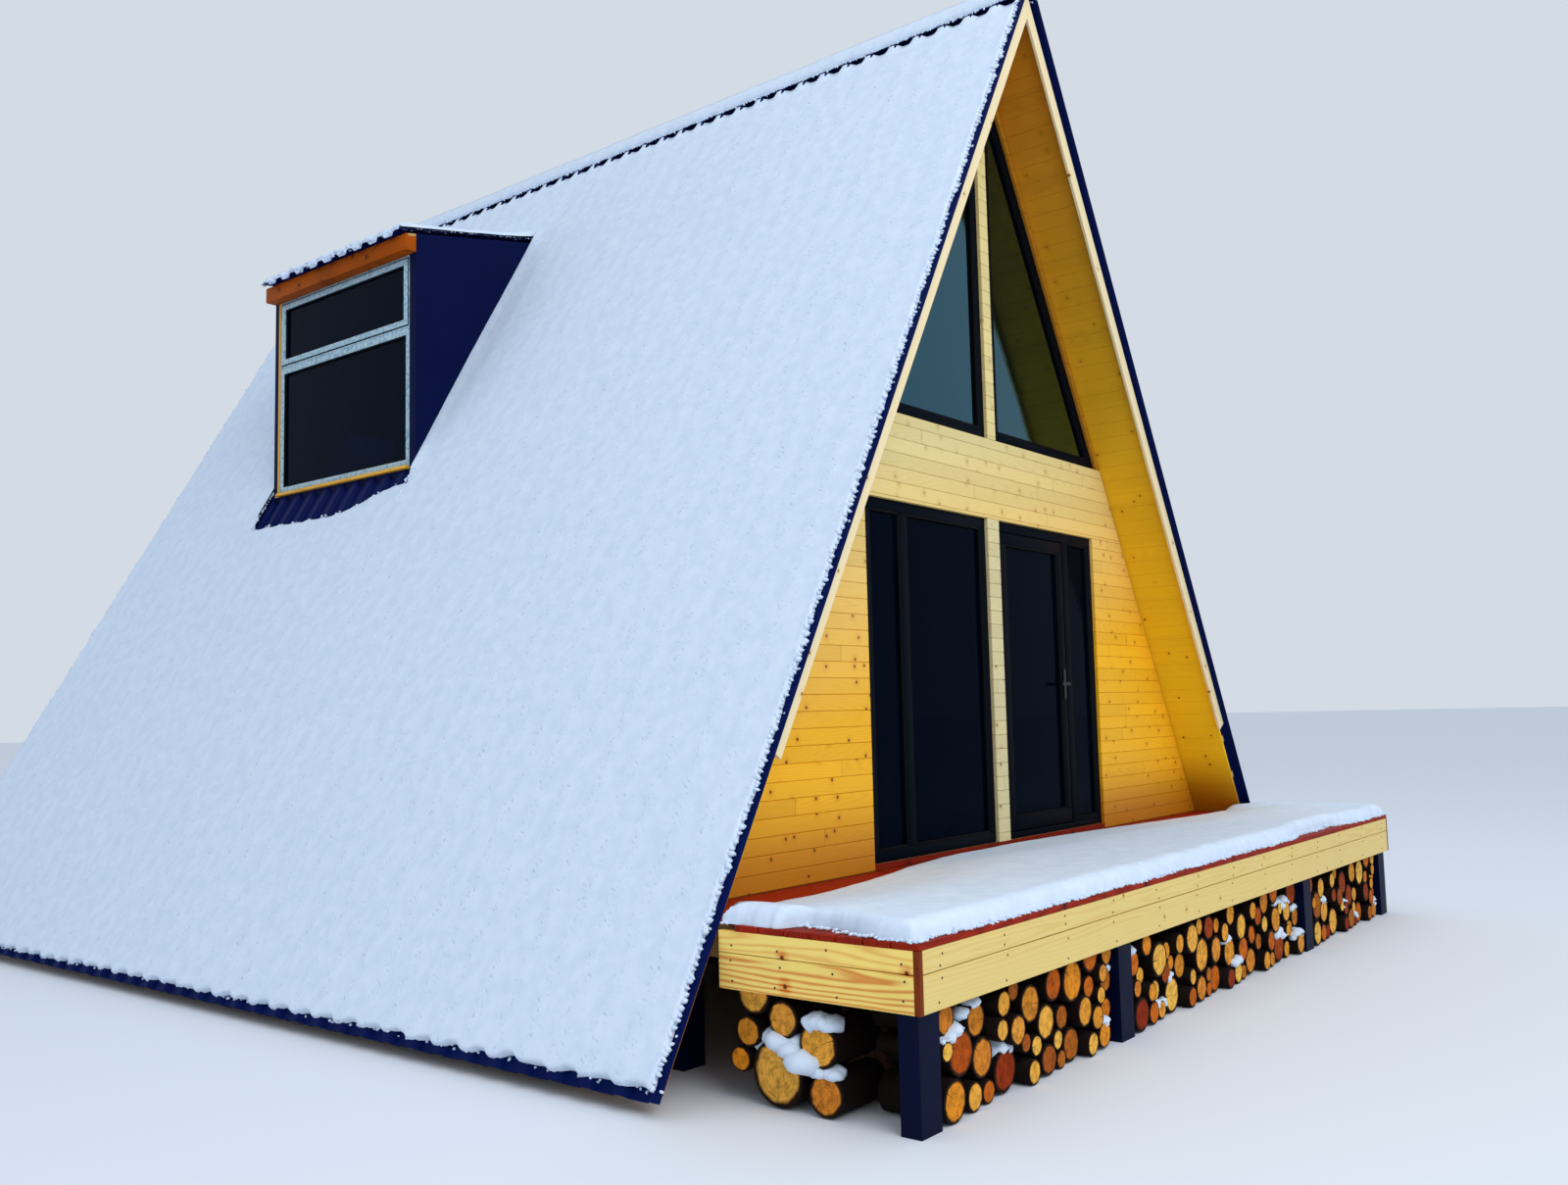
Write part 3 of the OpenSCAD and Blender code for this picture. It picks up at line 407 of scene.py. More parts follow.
@dataclass(frozen=True)
class LogEnd(Finish):
    """Sawn ends and bark of small softwood logs, by the log's own attributes."""

    def paint(self, node: Callable, place: NodeSocket) -> dict:
        """Draws from the attributes ring (place in the log, in radii, and 1 on a sawn end) and tone.

        Args:
            node: Adds a node to the material.
            place: Object coordinates.

        Returns:
            The shader's inputs.
        """
        tone = node("Attribute", attribute_name="tone", out="Fac")
        x, y, end = node("SeparateXYZ", node("Attribute", attribute_name="ring", out="Vector")).node.outputs
        flat, seeded = node("CombineXYZ", x, y), node("CombineXYZ", 0.0, 0.0, tone)
        # Growth rings are 3 to 5 mm thick here, some 20 in a log's radius; a third as many are drawn, as finer ones
        # would blur at this distance. They wander off round, and the heart is off the middle.
        warp = node("TexNoise", node("VectorMath.ADD", flat, seeded), 2.2, 4.0)
        bent = node("MULTIPLY_ADD", warp, 0.22, node("VectorMath.LENGTH", flat))
        wave = node("SINE", node("MULTIPLY", bent, 42.0))
        # Wet patches and saw marks about 38 mm wide make each end uneven.
        patchy = node("MapRange", node("TexNoise", place, per_metre(38), 5.0, 0.65), 0.4, 0.66, 0.0, 0.85)
        level = node("MULTIPLY_ADD", wave, 0.12, patchy, use_clamp=True)
        fresh = node("ValToRGB", tone)
        stops = fresh.node.color_ramp.elements
        for at, code in ((0.0, "EA8E1C"), (1.0, "F6A630"), (0.28, "FFC654"), (0.5, "DA7014"), (0.72, "90260A")):
            (stops[int(at)] if at in (0.0, 1.0) else stops.new(at)).color = hex_to_linear(code)
        sawn = node("Mix.RGBA", level, fresh, node("VectorMath.SCALE", fresh, 0.4))
        spokes = node("VectorMath.ADD", node("VectorMath.NORMALIZE", flat), seeded)
        crack = node("MapRange", node("TexNoise", spokes, 5.5, 1.0), 0.69, 0.74, 0.0, 0.8)
        sawn = node("Mix.RGBA", crack, sawn, "4A2410")
        sawn = node("Mix.RGBA", node("MapRange", bent, 0.9, 1.0), sawn, "22130A")
        # Bark in flakes of about 26 mm, dark brown between nearly black cracks, the whole darkened towards black as
        # painted shade for the gaps between the stacked logs.
        flakes = node("TexNoise", place, per_metre(26), 6.0, 0.7)
        bark = node("Mix.RGBA", flakes, "050405", "20140E")
        return {"Base Color": node("Mix.RGBA", node("GREATER_THAN", end, 0.5), bark, sawn), "Roughness": 0.8,
                "Specular IOR Level": 0.1, "Normal": node("Bump", 0.5, 0.004, Height=flakes)}


class Finishes:
    """Every finish of the cabin, made once and handed out by name."""

    def __init__(self) -> None:
        """Lists the finishes; each material is made when it is first asked for."""
        x, y, z, slope, out = Way.X, Way.Y, Way.Z, Way.SLOPE, Way.OUT
        wall = dict(rings=0.22, streak=0.14, phase=0.7553)
        raw, lining = ("CDA46A", "A67B44", "6A431F"), ("E4BE80", "C2934F", "80501F")
        self.kinds = {
            # Gable boards: painted light and shade by height and side, and painted shade on the lowest boards.
            "gable": Timber("oiled_pine_gable_boards_painted_shade", "E2D090", "CFB273", "6E340C", x, z, y, 0.094, 2.3, 0.12,
                            knots=4.1, stain=("F8B820", "E49A14"), reach=(2.2, 0.10, 0.62), foot_shade="B0600C", **wall),
            "post_boards": Timber("planed_pine_post_boards", "D8CA98", "C2AA76", "6E340C", x, z, y, 0.094, 2.3, 0.12,
                                  knots=3.0, **wall),
            # The right strip beside the upper window gets a darker orange copy of the wall boards' finish: painted
            # shade.
            "peak_edge": Timber("oiled_pine_peak_edge_boards_painted_shade", "B47A1C", "96600E", "5A2C08", x, z, y, 0.094, 0, 0.12,
                                **wall),
            # Soffit boards: painted darker towards the peak and at the foot as shade, brighter yellow low down as
            # light.
            "soffit": Timber("stained_pine_soffit_boards_painted_shade", "D48A1E", "BC7414", "5A2606", y, slope, out, 0.12, 0, 0.08,
                             knots=2.9, knot_size=0.011, rings=0.2, streak=0.12, mirrored=True,
                             stain=("FFD020", "F6BA18"), reach=(1.45, 0.0, 0.24), foot_shade="963204"),
            "barge": Timber("planed_pine_barge", "F4E2B6", "E6C98C", "9A5A1E", slope, out, y, 0.30, 0, 0.04,
                            knots=2.0, rings=0.4, mirrored=True),
            "fascia": Timber("planed_pine_fascia", "E6CC7E", "D8AC56", "7A4214", x, z, y, 0.30, 0, 0.06,
                             knots=1.7, knot_size=0.009, rings=0.25, ring=0.02, streak=0.08, grime=0.12),
            "fascia_side": Timber("planed_pine_fascia_side", "FFE07A", "D65E06", "6E3610", y, z, x, 0.155, 0, 0.08,
                                  knots=2.6, knot_size=0.013, rings=0.62, ring=0.024, streak=0.08, grime=0.3,
                                  phase=28.83, gloss=0.1),
            "deck": Timber("red_brown_decking", "942006", "5A1004", "32100A", x, y, z, 0.14, 0, 0.3,
                           roughness=0.6, grime=0.4, gloss=0.1),
            "edge": Timber("red_brown_threshold", "8A2006", "4E0E04", "2C0E06", x, z, y, 0.3, 0, 0.1,
                           roughness=0.6, grime=0.4, gloss=0.1),
            "header": Timber("orange_stained_header", "AA4E04", "602404", "2E1404", y, z, x, 0.30, 0, 0.1,
                             rings=0.6, grime=1.5, gloss=0.06),
            "sill": Timber("yellow_stained_sill", "EDB03A", "C98420", "8A4A12", y, x, z, 0.30, 0, 0.05),
            "trim": Timber("brown_corner_trim", "7E340C", "461A06", "2A1408", z, x, y, 0.30, 0, 0.05,
                           grime=0.8, gloss=0.1),
            "floor": Timber("planed_spruce_floor", "DDB377", "B98A4E", "7A4A22", y, x, z, 0.12, 2.4, roughness=0.42),
            "lining": Timber("planed_spruce_lining", *lining, y, slope, out, 0.12, 2.6, 0.14, mirrored=True),
            "beam_x": Timber("sawn_spruce_joists", *raw, x, z, y, 0.25, 0, 0.2, roughness=0.75),
            "beam_y": Timber("sawn_spruce_framing", *raw, y, z, x, 0.25, 0, 0.2, roughness=0.75),
            "rafter": Timber("sawn_spruce_rafters", *raw, slope, y, out, 0.25, 0, 0.2, roughness=0.75, mirrored=True),
            "cheek": Timber("planed_spruce_dormer_lining", *lining, x, z, y, 0.12, 0, 0.14),
            "sheet": Coat("polyester_coated_sheet_steel", "02124A", 0.5, 0.04, 0.0, "1C3C90", 0.05),
            "cheek_sheet": Coat("polyester_coated_flat_sheet", "020C38", 0.5, 0.03, 0.0, "1E3478", 0.05),
            "post": Coat("painted_steel_tube", "020A2A", 0.5, 0.04, 0.0, "22365C", 0.06),
            "frame": Coat("matt_foiled_window_frame", "020914", 0.5, 0.03, 0.0, "14223A", 0.03),
            "seal": Coat("epdm_glazing_seal", "030508", 0.7, 0.05, 0.0, "20262E", 0.1),
            "film": Film("protective_film_on_frame"),
            "yellow": Coat("yellow_jamb_strip", "E2A628", 0.5, 0.2),
            "steel": Coat("satin_stainless_fittings", "B8BBC0", 0.3, 0.1, 1.0),
            "handle": Coat("dark_bronze_lever", "2C2E34", 0.32, 0.1, 1.0),
            "nail": Coat("weathered_nail_heads", "4A2A18", 0.7, 0.1),
            "glass": Glazing("sealed_float_glass", "062A50", 1.06, "4A90D0"),
            "dormer_glass": Glazing("dormer_float_glass", "0A3458", 1.11, "3890E0"),
            "sky_glass": Glazing("coated_float_glass", "022A34", 2.05, "08CCF4"),
            "snow": Snowfall("fresh_snow"),
            "roof_snow": Snowfall("fresh_snow_on_ribs", ribs=True),
            "logs": LogEnd("sawn_softwood_logs"),
        }
        self.made: dict[str, Material] = {}

    def dress(self, obj: Object, key: str) -> None:
        """Gives an object one finish in place of its materials.

        Args:
            obj: The object.
            key: The finish's short name.
        """
        if key not in self.made:
            self.made[key] = self.kinds[key].make()
        obj.data.materials.clear()
        obj.data.materials.append(self.made[key])


class Bench:
    """The maker's bench: primitives, cuts and copies by Blender's own operators."""

    def __init__(self) -> None:
        """Lays out the finishes."""
        self.finishes = Finishes()

    def pick(self, *objs: Object) -> None:
        """Selects only some objects and makes the first one active.

        Args:
            objs: The objects; with none, everything is deselected.
        """
        for obj in bpy.context.selected_objects:
            obj.select_set(False)
        for obj in objs:
            obj.select_set(True)
            bpy.context.view_layer.objects.active = objs[0]

    def start(self, kind: str, **settings: object) -> Object:
        """Adds a primitive, with nothing else selected.

        Args:
            kind: Which primitive, by its operator's name.
            settings: The operator's settings.

        Returns:
            The primitive.
        """
        self.pick()
        getattr(bpy.ops.mesh, f"primitive_{kind}_add")(**settings)
        return bpy.context.object

    def edit(self, obj: Object, *steps: Callable, faces: Callable | None = None) -> Object:
        """Works on a mesh in edit mode, on all of it or on some faces.

        Args:
            obj: The object.
            steps: What is done, in order.
            faces: Tells whether a face is chosen.

        Returns:
            The same object.
        """
        self.pick(obj)
        bpy.context.tool_settings.mesh_select_mode = (False, False, True)
        bpy.ops.object.mode_set(mode="EDIT")
        bpy.ops.mesh.select_all(action="DESELECT" if faces else "SELECT")
        if faces:
            bpy.ops.object.mode_set(mode="OBJECT")
            for face in obj.data.polygons:
                face.select = faces(face)
            bpy.ops.object.mode_set(mode="EDIT")
        for step in steps:
            step()
        bpy.ops.object.mode_set(mode="OBJECT")
        return obj

    def settle(self, obj: Object) -> Object:
        """Puts the object's place, turn and size into its mesh.

        Args:
            obj: The object.

        Returns:
            The same object.
        """
        self.pick(obj)
        bpy.ops.object.transform_apply(location=True, rotation=True, scale=True)
        return obj

    def block(self, low: tuple, high: tuple, ease: float = 0.003, steps: int = 1) -> Object:
        """A block between two corners.

        Args:
            low: Lowest corner.
            high: Highest corner.
            ease: Width of the eased edges.
            steps: Segments of the eased edges.

        Returns:
            The block.
        """
        a, b = Vector(low), Vector(high)
        obj = self.start("cube", size=1, location=(a + b) / 2)
        obj.scale = b - a
        self.settle(obj)
        bevel = partial(bpy.ops.mesh.bevel, offset=ease, segments=steps, affect="EDGES")
        return self.edit(obj, bevel) if ease else obj

    def cut(self, obj: Object, *planes: tuple) -> Object:
        """Saws off what lies beyond each plane and closes the cut.

        Args:
            obj: The object.
            planes: (point, outward normal) of each plane.

        Returns:
            The same object.
        """
        for point, normal in planes:
            self.edit(obj, partial(bpy.ops.mesh.bisect, plane_co=point, plane_no=normal, use_fill=True,
                                   clear_outer=True))
        return obj

    def join(self, *objs: Object) -> Object:
        """Joins objects into the first one.

        Args:
            objs: The objects.

        Returns:
            The joined object.
        """
        self.pick(*objs)
        if len(objs) > 1:
            bpy.ops.object.join()
        return objs[0]

    def boards(self, spans: list[tuple], ease: float = 0.0025) -> Object:
        """Boards given by their corners, cut from one eased template.

        Args:
            spans: (lowest corner, highest corner) of each board.
            ease: Width of the eased edges on the first board's scale.

        Returns:
            All boards as one object.
        """
        size = Vector(spans[0][1]) - Vector(spans[0][0])
        template, made = self.block(-size / 2, size / 2, ease), []
        for a, b in spans:
            a, b, twin = Vector(a), Vector(b), template.copy()
            grow = Matrix.Diagonal((*((b - a)[k] / size[k] for k in range(3)), 1.0))
            twin.data = template.data.copy()
            twin.data.transform(Matrix.Translation((a + b) / 2) @ grow)
            bpy.context.scene.collection.objects.link(twin)
            made.append(twin)
        bpy.data.meshes.remove(template.data)
        return self.join(*made)

    def ring(self, low: tuple, high: tuple, width: float, cuts: tuple = (), ease: float = 0.004) -> Object:
        """A mitred ring of bars facing the front or the side: a block, sawn, inset on both faces and opened.

        Args:
            low: Lowest corner.
            high: Highest corner.
            width: Width of the bars.
            cuts: (point, normal) of planes that trim the outline first.
            ease: Width of the eased edges.

        Returns:
            The ring.
        """
        obj = self.cut(self.block(low, high, 0.0), *cuts)
        facing = 0 if abs(high[0] - low[0]) < abs(high[1] - low[1]) else 1
        self.edit(obj, partial(bpy.ops.mesh.inset, thickness=width, use_even_offset=True),
                  bpy.ops.mesh.bridge_edge_loops, faces=lambda face: abs(face.normal[facing]) > 0.99)
        self.edit(obj, partial(bpy.ops.mesh.normals_make_consistent, inside=False))
        return self.soften(obj, ease) if ease else obj

    def soften(self, obj: Object, width: float) -> Object:
        """Eases an object's sharp edges with an applied modifier.

        Args:
            obj: The object.
            width: Width of the eased edges.

        Returns:
            The same object.
        """
        self.pick(obj)
        mod = obj.modifiers.new("ease", "BEVEL")
        mod.width, mod.segments, mod.limit_method = width, 2, "ANGLE"
        bpy.ops.object.modifier_apply(modifier=mod.name)
        return obj

    def grid(self, us: list, vs: list, shape: Callable, keep: Callable | None = None) -> Object:
        """A grid primitive whose lines are slid to their places and whose points are then raised.

        Args:
            us: Places of the lines along the first axis.
            vs: Places of the lines along the second axis.
            shape: Gives the point for (u, v).
            keep: Tells whether the cell at (middle u, middle v) stays.

        Returns:
            The shaped grid.
        """
        nu, nv = len(us) - 1, len(vs) - 1
        obj = self.start("grid", x_subdivisions=nu, y_subdivisions=nv, size=1)
        mesh = obj.data
        flat = np.empty(len(mesh.vertices) * 3)
        mesh.vertices.foreach_get("co", flat)
        i, j = (np.rint((flat[k::3] + 0.5) * n).astype(int) for k, n in enumerate((nu, nv)))
        points = [shape(us[a], vs[b]) for a, b in zip(i, j)]
        mesh.vertices.foreach_set("co", np.array(points, dtype=float).ravel())
        mesh.update()
        if not keep:
            return obj

        def dropped(face: MeshPolygon) -> bool:
            """Whether a cell goes."""
            a, c = face.vertices[0], face.vertices[2]
            return not keep((us[i[a]] + us[i[c]]) / 2, (vs[j[a]] + vs[j[c]]) / 2)

        return self.edit(obj, partial(bpy.ops.mesh.delete, type="FACE"), faces=dropped)

    def mesh(self, name: str, points: list, faces: list) -> Object:
        """Makes a new object.

        Args:
            name: Its name.
            points: Its points.
            faces: Its faces, by the numbers of their points.

        Returns:
            The object.
        """
        mesh = bpy.data.meshes.new(name)
        mesh.from_pydata(points, [], faces)
        obj = bpy.data.objects.new(name, mesh)
        bpy.context.scene.collection.objects.link(obj)
        return obj

    def repeat(self, template: Object, places: list[Matrix]) -> Object:
        """Copies a template to many places in one mesh.

        Args:
            template: The object to copy; it is removed.
            places: World matrices.

        Returns:
            One object with all copies.
        """
        old = template.data
        points = np.array([(*v.co, 1.0) for v in old.vertices])
        spots = np.concatenate([points @ np.array(m).T for m in places])[:, :3]
        n, faces = len(points), [tuple(f.vertices) for f in old.polygons]
        made = [tuple(k * n + v for v in f) for k in range(len(places)) for f in faces]
        bpy.data.objects.remove(template)
        bpy.data.meshes.remove(old)
        return self.mesh("copies", spots.tolist(), made)

    def finish(self, name: str, obj: Object, finish: str, slot: str = "", nodes: tuple = (),
               body: str = "cabin", smooth: float = 0.0) -> None:
        """Gives a piece its name, finish and body, and hides the CAD nodes that it stands for.

        Args:
            name: The piece's name.
            obj: The piece.
            finish: The finish's short name.
            slot: The record's material slot; not used.
            nodes: CAD nodes that the piece replaces.
            body: The CAD body that it rides on.
            smooth: Angle in degrees under which edges are shaded smooth.
        """
        obj.name = name
        self.finishes.dress(self.settle(obj), finish)
        if smooth:
            bpy.ops.object.shade_smooth_by_angle(angle=math.radians(smooth))
        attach(obj, body)
        if nodes:
            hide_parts(*nodes)
        LOG.info("%s: %d faces", obj.name, len(obj.data.polygons))

    def coat(self, finish: str, *nodes: str) -> None:
        """Gives CAD nodes a better material."""
        for node in nodes:
            self.finishes.dress(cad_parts[node], finish)


@dataclass
class Sizes:
    """The cabin's main sizes in metres, as the CAD frame has them."""

    ridge: float = 6.75
    pitch: float = math.radians(60.0)
    foot: float = 0.075
    soffit: float = 0.0801
    verge: float = -3.740
    edge: float = -3.785
    wall: float = -3.320
    wall_t: float = 0.150
    clad: float = 0.022
    back_verge: float = 4.815
    back_edge: float = 4.860
    back_wall: float = 4.395
    sill: float = 0.810
    deck_top: float = 0.775
    deck_front: float = -4.860
    deck_half: float = 3.466
    unit_in: float = 0.0775
    unit_out: float = 1.5425
    unit_h: float = 2.2
    upper: float = 3.570
    # Pitch of the wall boards, the gap between them, and the least height of a board.
    course: float = 0.094
    gap: float = 0.0015
    least: float = 0.006
    upper_in: tuple[float, float] = (0.0325, 0.0775)

    def apex(self, depth: float = 0.0) -> float:
        """Height over the ridge line of the plane at a depth under the sheet's crowns."""
        return self.ridge - depth / math.cos(self.pitch)

    def half(self, z: float, depth: float) -> float:
        """Half width at height z of the plane at a depth under the sheet's crowns."""
        return (self.apex(depth) - z) / math.tan(self.pitch)

    def plane(self, sign: int, depth: float) -> tuple[tuple, tuple]:
        """Point and outward normal of one slope's plane at a depth under the crowns."""
        return (0, 0, self.apex(depth)), (sign * math.sin(self.pitch), 0, math.cos(self.pitch))

    def slope(self, side: Side) -> Matrix:
        """Frame of a slope: X down it, Y along the ridge (to the front on the left slope), Z outwards."""
        s, cos, sin = side.value, math.cos(self.pitch), math.sin(self.pitch)
        return Matrix(((s * cos, 0, s * sin, 0), (0, s, 0, 0), (-sin, 0, cos, self.ridge), (0, 0, 0, 1)))

    def courses(self, z0: float, z1: float) -> list[tuple[float, float]]:
        """Lower and upper edges of the wall boards between two heights.

        Args:
            z0: Lower end of the wall.
            z1: Upper end of the wall.

        Returns:
            (lower, upper) edge of each board.
        """
        k, rows = math.floor((z0 - self.deck_top) / self.course + 1e-6), []
        while self.deck_top + k * self.course < z1 - 1e-4:
            low, high = (self.deck_top + n * self.course for n in (k, k + 1))
            rows.append((max(low, z0) + self.gap / 2, min(high, z1) - self.gap / 2))
            k += 1
        return [r for r in rows if r[1] - r[0] > self.least]


def by_height(spans: list[tuple]) -> list[tuple]:
    """Boards with the tallest first, as the template is cut from it."""
    return sorted(spans, key=lambda span: span[1][2] - span[0][2], reverse=True)


def around(x0: float, x1: float, z0: float, z1: float, w: float, foot: float | None = None) -> list[tuple]:
    """(x0, x1, z0, z1) of four bars round a rectangle, w wide, the lowest one foot high."""
    low = z0 + (foot or w)
    return [(x0, x1, z0, low), (x0, x1, z1 - w, z1), (x0, x0 + w, low, z1 - w), (x1 - w, x1, low, z1 - w)]


@dataclass
class GableFront:
    """The glazed front wall: boards, core, threshold, frames, panes and the door."""

    size: Sizes
    bench: Bench
    end_gap: float = 0.012
    strip: float = 0.14
    stand: float = 0.022
    setback: float = 0.025
    bar: float = 0.07
    mullion: float = 0.08
    narrow: float = 0.33
    foot: float = 0.045
    jamb: float = 0.035
    stile: float = 0.08
    rail: float = 0.095
    bead: float = 0.014
    # Front and back of the seals and of the panes, behind the frames' front.
    seal: tuple[float, float] = (0.001, 0.023)
    glass: tuple[float, float] = (0.023, 0.047)

    def __post_init__(self) -> None:
        """Works out where the frames and the soffit's planes lie."""
        s = self.size
        self.face = s.wall + self.setback
        self.planes = [s.plane(-1, s.soffit), s.plane(1, s.soffit)]

    def wall(self, run: tuple, planes: list, core: tuple | None = None, stand: float = 0.0) -> Object:
        """Boards, sawn a little short of the soffit as the real ends are, in front of a core.

        Args:
            run: (x0, x1, z0, z1) of the boards.
            planes: (point, normal) of the soffit's planes.
            core: The same of the core, where it differs.
            stand: How far the boards stand off the core.

        Returns:
            The wall, its core not yet trimmed.
        """
        s, b = self.size, self.bench
        x0, x1, z0, z1 = run
        front = s.wall + s.clad
        boards = by_height([((x0, s.wall, a), (x1, front, c)) for a, c in s.courses(z0, z1)])
        short = [(Vector(point) - Vector(normal) * self.end_gap, normal) for point, normal in planes]
        x0, x1, z0, z1 = core or run
        block = b.block((x0, front + stand, z0), (x1, s.wall + s.wall_t, z1), 0.0)
        return b.join(b.cut(b.boards(boards, 0.003), *short), block)

    def build(self) -> None:
        """Builds the whole wall."""
        s, b = self.size, self.bench
        band, wide = s.sill + s.unit_h, s.half(s.deck_top, s.soffit) + 0.05
        reach = s.half(band, s.soffit) + 0.05
        left, right = self.planes
        for name, node, x0, x1, z0, z1, core, planes, wood in (
            ("front_boards_right", "front_wall_right", s.unit_out, wide, s.deck_top, band, s.sill, [right], "gable"),
            ("front_boards_left", "front_wall_left", -wide, -s.unit_out, s.deck_top, band, s.sill, [left], "gable"),
            ("front_boards_band", "front_wall_band", -reach, reach, band, s.upper, band, self.planes, "gable"),
            ("centre_post_boards", "centre_post", -s.unit_in, s.unit_in, s.sill, band, s.sill, [], "post_boards"),
        ):
            whole = self.wall((x0, x1, z0, z1), planes, (x0, x1, core, z1))
            b.finish(name, b.cut(whole, *planes), wood, "cladding", (node,))
        self.peak()
        b.coat("edge", "threshold")
        self.units()
        self.upper_units()
        self.door()

    def peak(self) -> None:
        """The boarded strips round the upper windows and the post between them."""
        s, b, top = self.size, self.bench, self.size.apex(self.size.soffit)
        parts = [self.wall((-s.upper_in[0], s.upper_in[1], s.upper, top), self.planes)]
        for side, inner in zip((-1, 1), s.upper_in):
            run = (*sorted((side * inner, side * 2.2)), s.upper, top)
            point, normal = s.plane(side, self.strip)
            parts.append(b.cut(self.wall(run, self.planes, stand=self.stand), (point, -Vector(normal))))
        # The right strip gets the darker orange finish of painted shade.
        for name, whole, wood in (("front_boards_peak_right", parts[2], "peak_edge"),
                                  ("front_boards_peak", b.join(*parts[:2]), "gable")):
            b.finish(name, b.cut(whole, *self.planes), wood, "cladding", ("front_wall_peak",))

    def bars(self, name: str, spans: list[tuple], y0: float, y1: float, node: str, body: str = "cabin") -> None:
        """Frame bars with eased edges, each at its (x0, x1, z0, z1) from y0 back to y1."""
        parts = [self.bench.block((x0, y0, z0), (x1, y1, z1), 0.004, 2) for x0, x1, z0, z1 in spans]
        self.bench.finish(name, self.bench.join(*parts), "frame", "frame", (node,), body, 30)

    def beads(self, name: str, lights: list[tuple], y0: float, body: str = "cabin") -> None:
        """Black seals and slim beads round each pane.

        Args:
            name: The piece's name.
            lights: (x0, x1, z0, z1) of each pane.
            y0: Front of the frame.
            body: The body that they ride on.
        """
        front, back = (y0 + depth for depth in self.seal)
        parts = [self.bench.block((x0, front, z0), (x1, back, z1), 0.004, 2)
                 for light in lights for x0, x1, z0, z1 in around(*light, self.bead)]
        self.bench.finish(name, self.bench.join(*parts), "seal", "frame", (), body, 30)

    def pane(self, name: str, light: tuple, y0: float, nodes: tuple[str, ...], body: str = "cabin") -> None:
        """A sealed glass unit.

        Args:
            name: The piece's name.
            light: (x0, x1, z0, z1) of the unit.
            y0: Front of the frame.
            nodes: CAD nodes that it replaces.
            body: The body that it rides on.
        """
        (x0, x1, z0, z1), (front, back) = light, (y0 + depth for depth in self.glass)
        unit = self.bench.block((x0, front, z0), (x1, back, z1), 0.001)
        self.bench.finish(name, unit, "glass", "glass", nodes, body)

    def units(self) -> None:
        """The left window, and the right unit's frame and side light."""
        s, y0, w, m = self.size, self.face, self.bar, self.mullion
        z0, z1, a, o = s.sill, s.sill + s.unit_h, s.unit_in, s.unit_out
        low, high, cut, foot = z0 + w, z1 - w, o - w - self.narrow, z0 + self.foot
        bars = [*around(-o, -a, z0, z1, w), (-cut, -cut + m, low, high)]
        self.bars("window_bars_left", bars, y0, y0 + w, "window_frame")
        wide, slim = (-cut + m, -a - w, low, high), (-o + w, -cut, low, high)
        self.beads("window_beads_left", [wide, slim], y0)
        self.pane("window_pane_wide", wide, y0, ("window_glass",))
        self.pane("window_pane_slim", slim, y0, ())
        bars = [(a, o, z0, foot), (a, o, high, z1), (a, a + self.jamb, foot, high), (cut - m, cut, foot, high),
                (o - w, o, foot, high), (cut, o - w, foot, low)]
        self.bars("door_frame_bars", bars, y0, y0 + w, "door_frame")
        side = (cut, o - w, low, high)
        self.beads("sidelight_beads", [side], y0)
        self.pane("sidelight_pane", side, y0, ("sidelight_glass",))

    def door(self) -> None:
        """The door leaf with its pane and lever handles."""
        (lo, hi), stile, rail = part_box("door_leaf"), self.stile, self.rail
        bars = around(lo.x, hi.x, lo.z, hi.z, stile, rail)
        self.bars("door_leaf_bars", bars, lo.y, hi.y, "door_leaf", "door")
        light = (lo.x + stile, hi.x - stile, lo.z + rail, hi.z - stile)
        self.beads("door_beads", [light], lo.y, "door")
        self.pane("door_pane", light, lo.y, ("door_glass",), "door")
        self.bench.coat("handle", "door_handle")
        self.bench.coat("steel", "hinges_leaf", "hinges_frame")

    def upper_units(self) -> None:
        """The two three-sided upper windows: mitred rings, seals and panes."""
        s, b, y0 = self.size, self.bench, self.face
        parts, seals, panes = [], [], []

        def outline(sign: int, margin: float, front: float, back: float) -> tuple[tuple, tuple, tuple]:
            """Block and slanted cut of a window.

            Args:
                sign: The window's side, by the sign of X.
                margin: How far the outline is drawn in.
                front: Front of the block, behind the frame's.
                back: Back of the block, behind the frame's front.

            Returns:
                Lowest corner, highest corner, and (point, normal) of the cut.
            """
            depth, z_low = self.strip + margin, s.upper + margin
            x_in, reach = s.upper_in[(sign + 1) // 2] + margin, s.half(z_low, depth) + 0.05
            x0, x1 = sorted((sign * x_in, sign * reach))
            return (x0, y0 + front, z_low), (x1, y0 + back, s.apex(depth)), s.plane(sign, depth)

        for sign in (-1, 1):
            low, high, plane = outline(sign, 0.0, 0.0, self.bar)
            parts.append(b.ring(low, high, self.bar, (plane,)))
            low, high, plane = outline(sign, self.bar, *self.seal)
            seals.append(b.ring(low, high, 0.012, (plane,), 0.003))
            low, high, plane = outline(sign, self.bar, *self.glass)
            panes.append(b.cut(b.block(low, high, 0.0), plane))
        b.finish("upper_window_bars", b.join(*parts), "frame", "frame", ("upper_window_frames",), smooth=30)
        b.finish("upper_window_beads", b.join(*seals), "seal", "frame", smooth=30)
        b.finish("upper_window_panes", b.join(*panes), "sky_glass", "glass", ("upper_window_glass",))


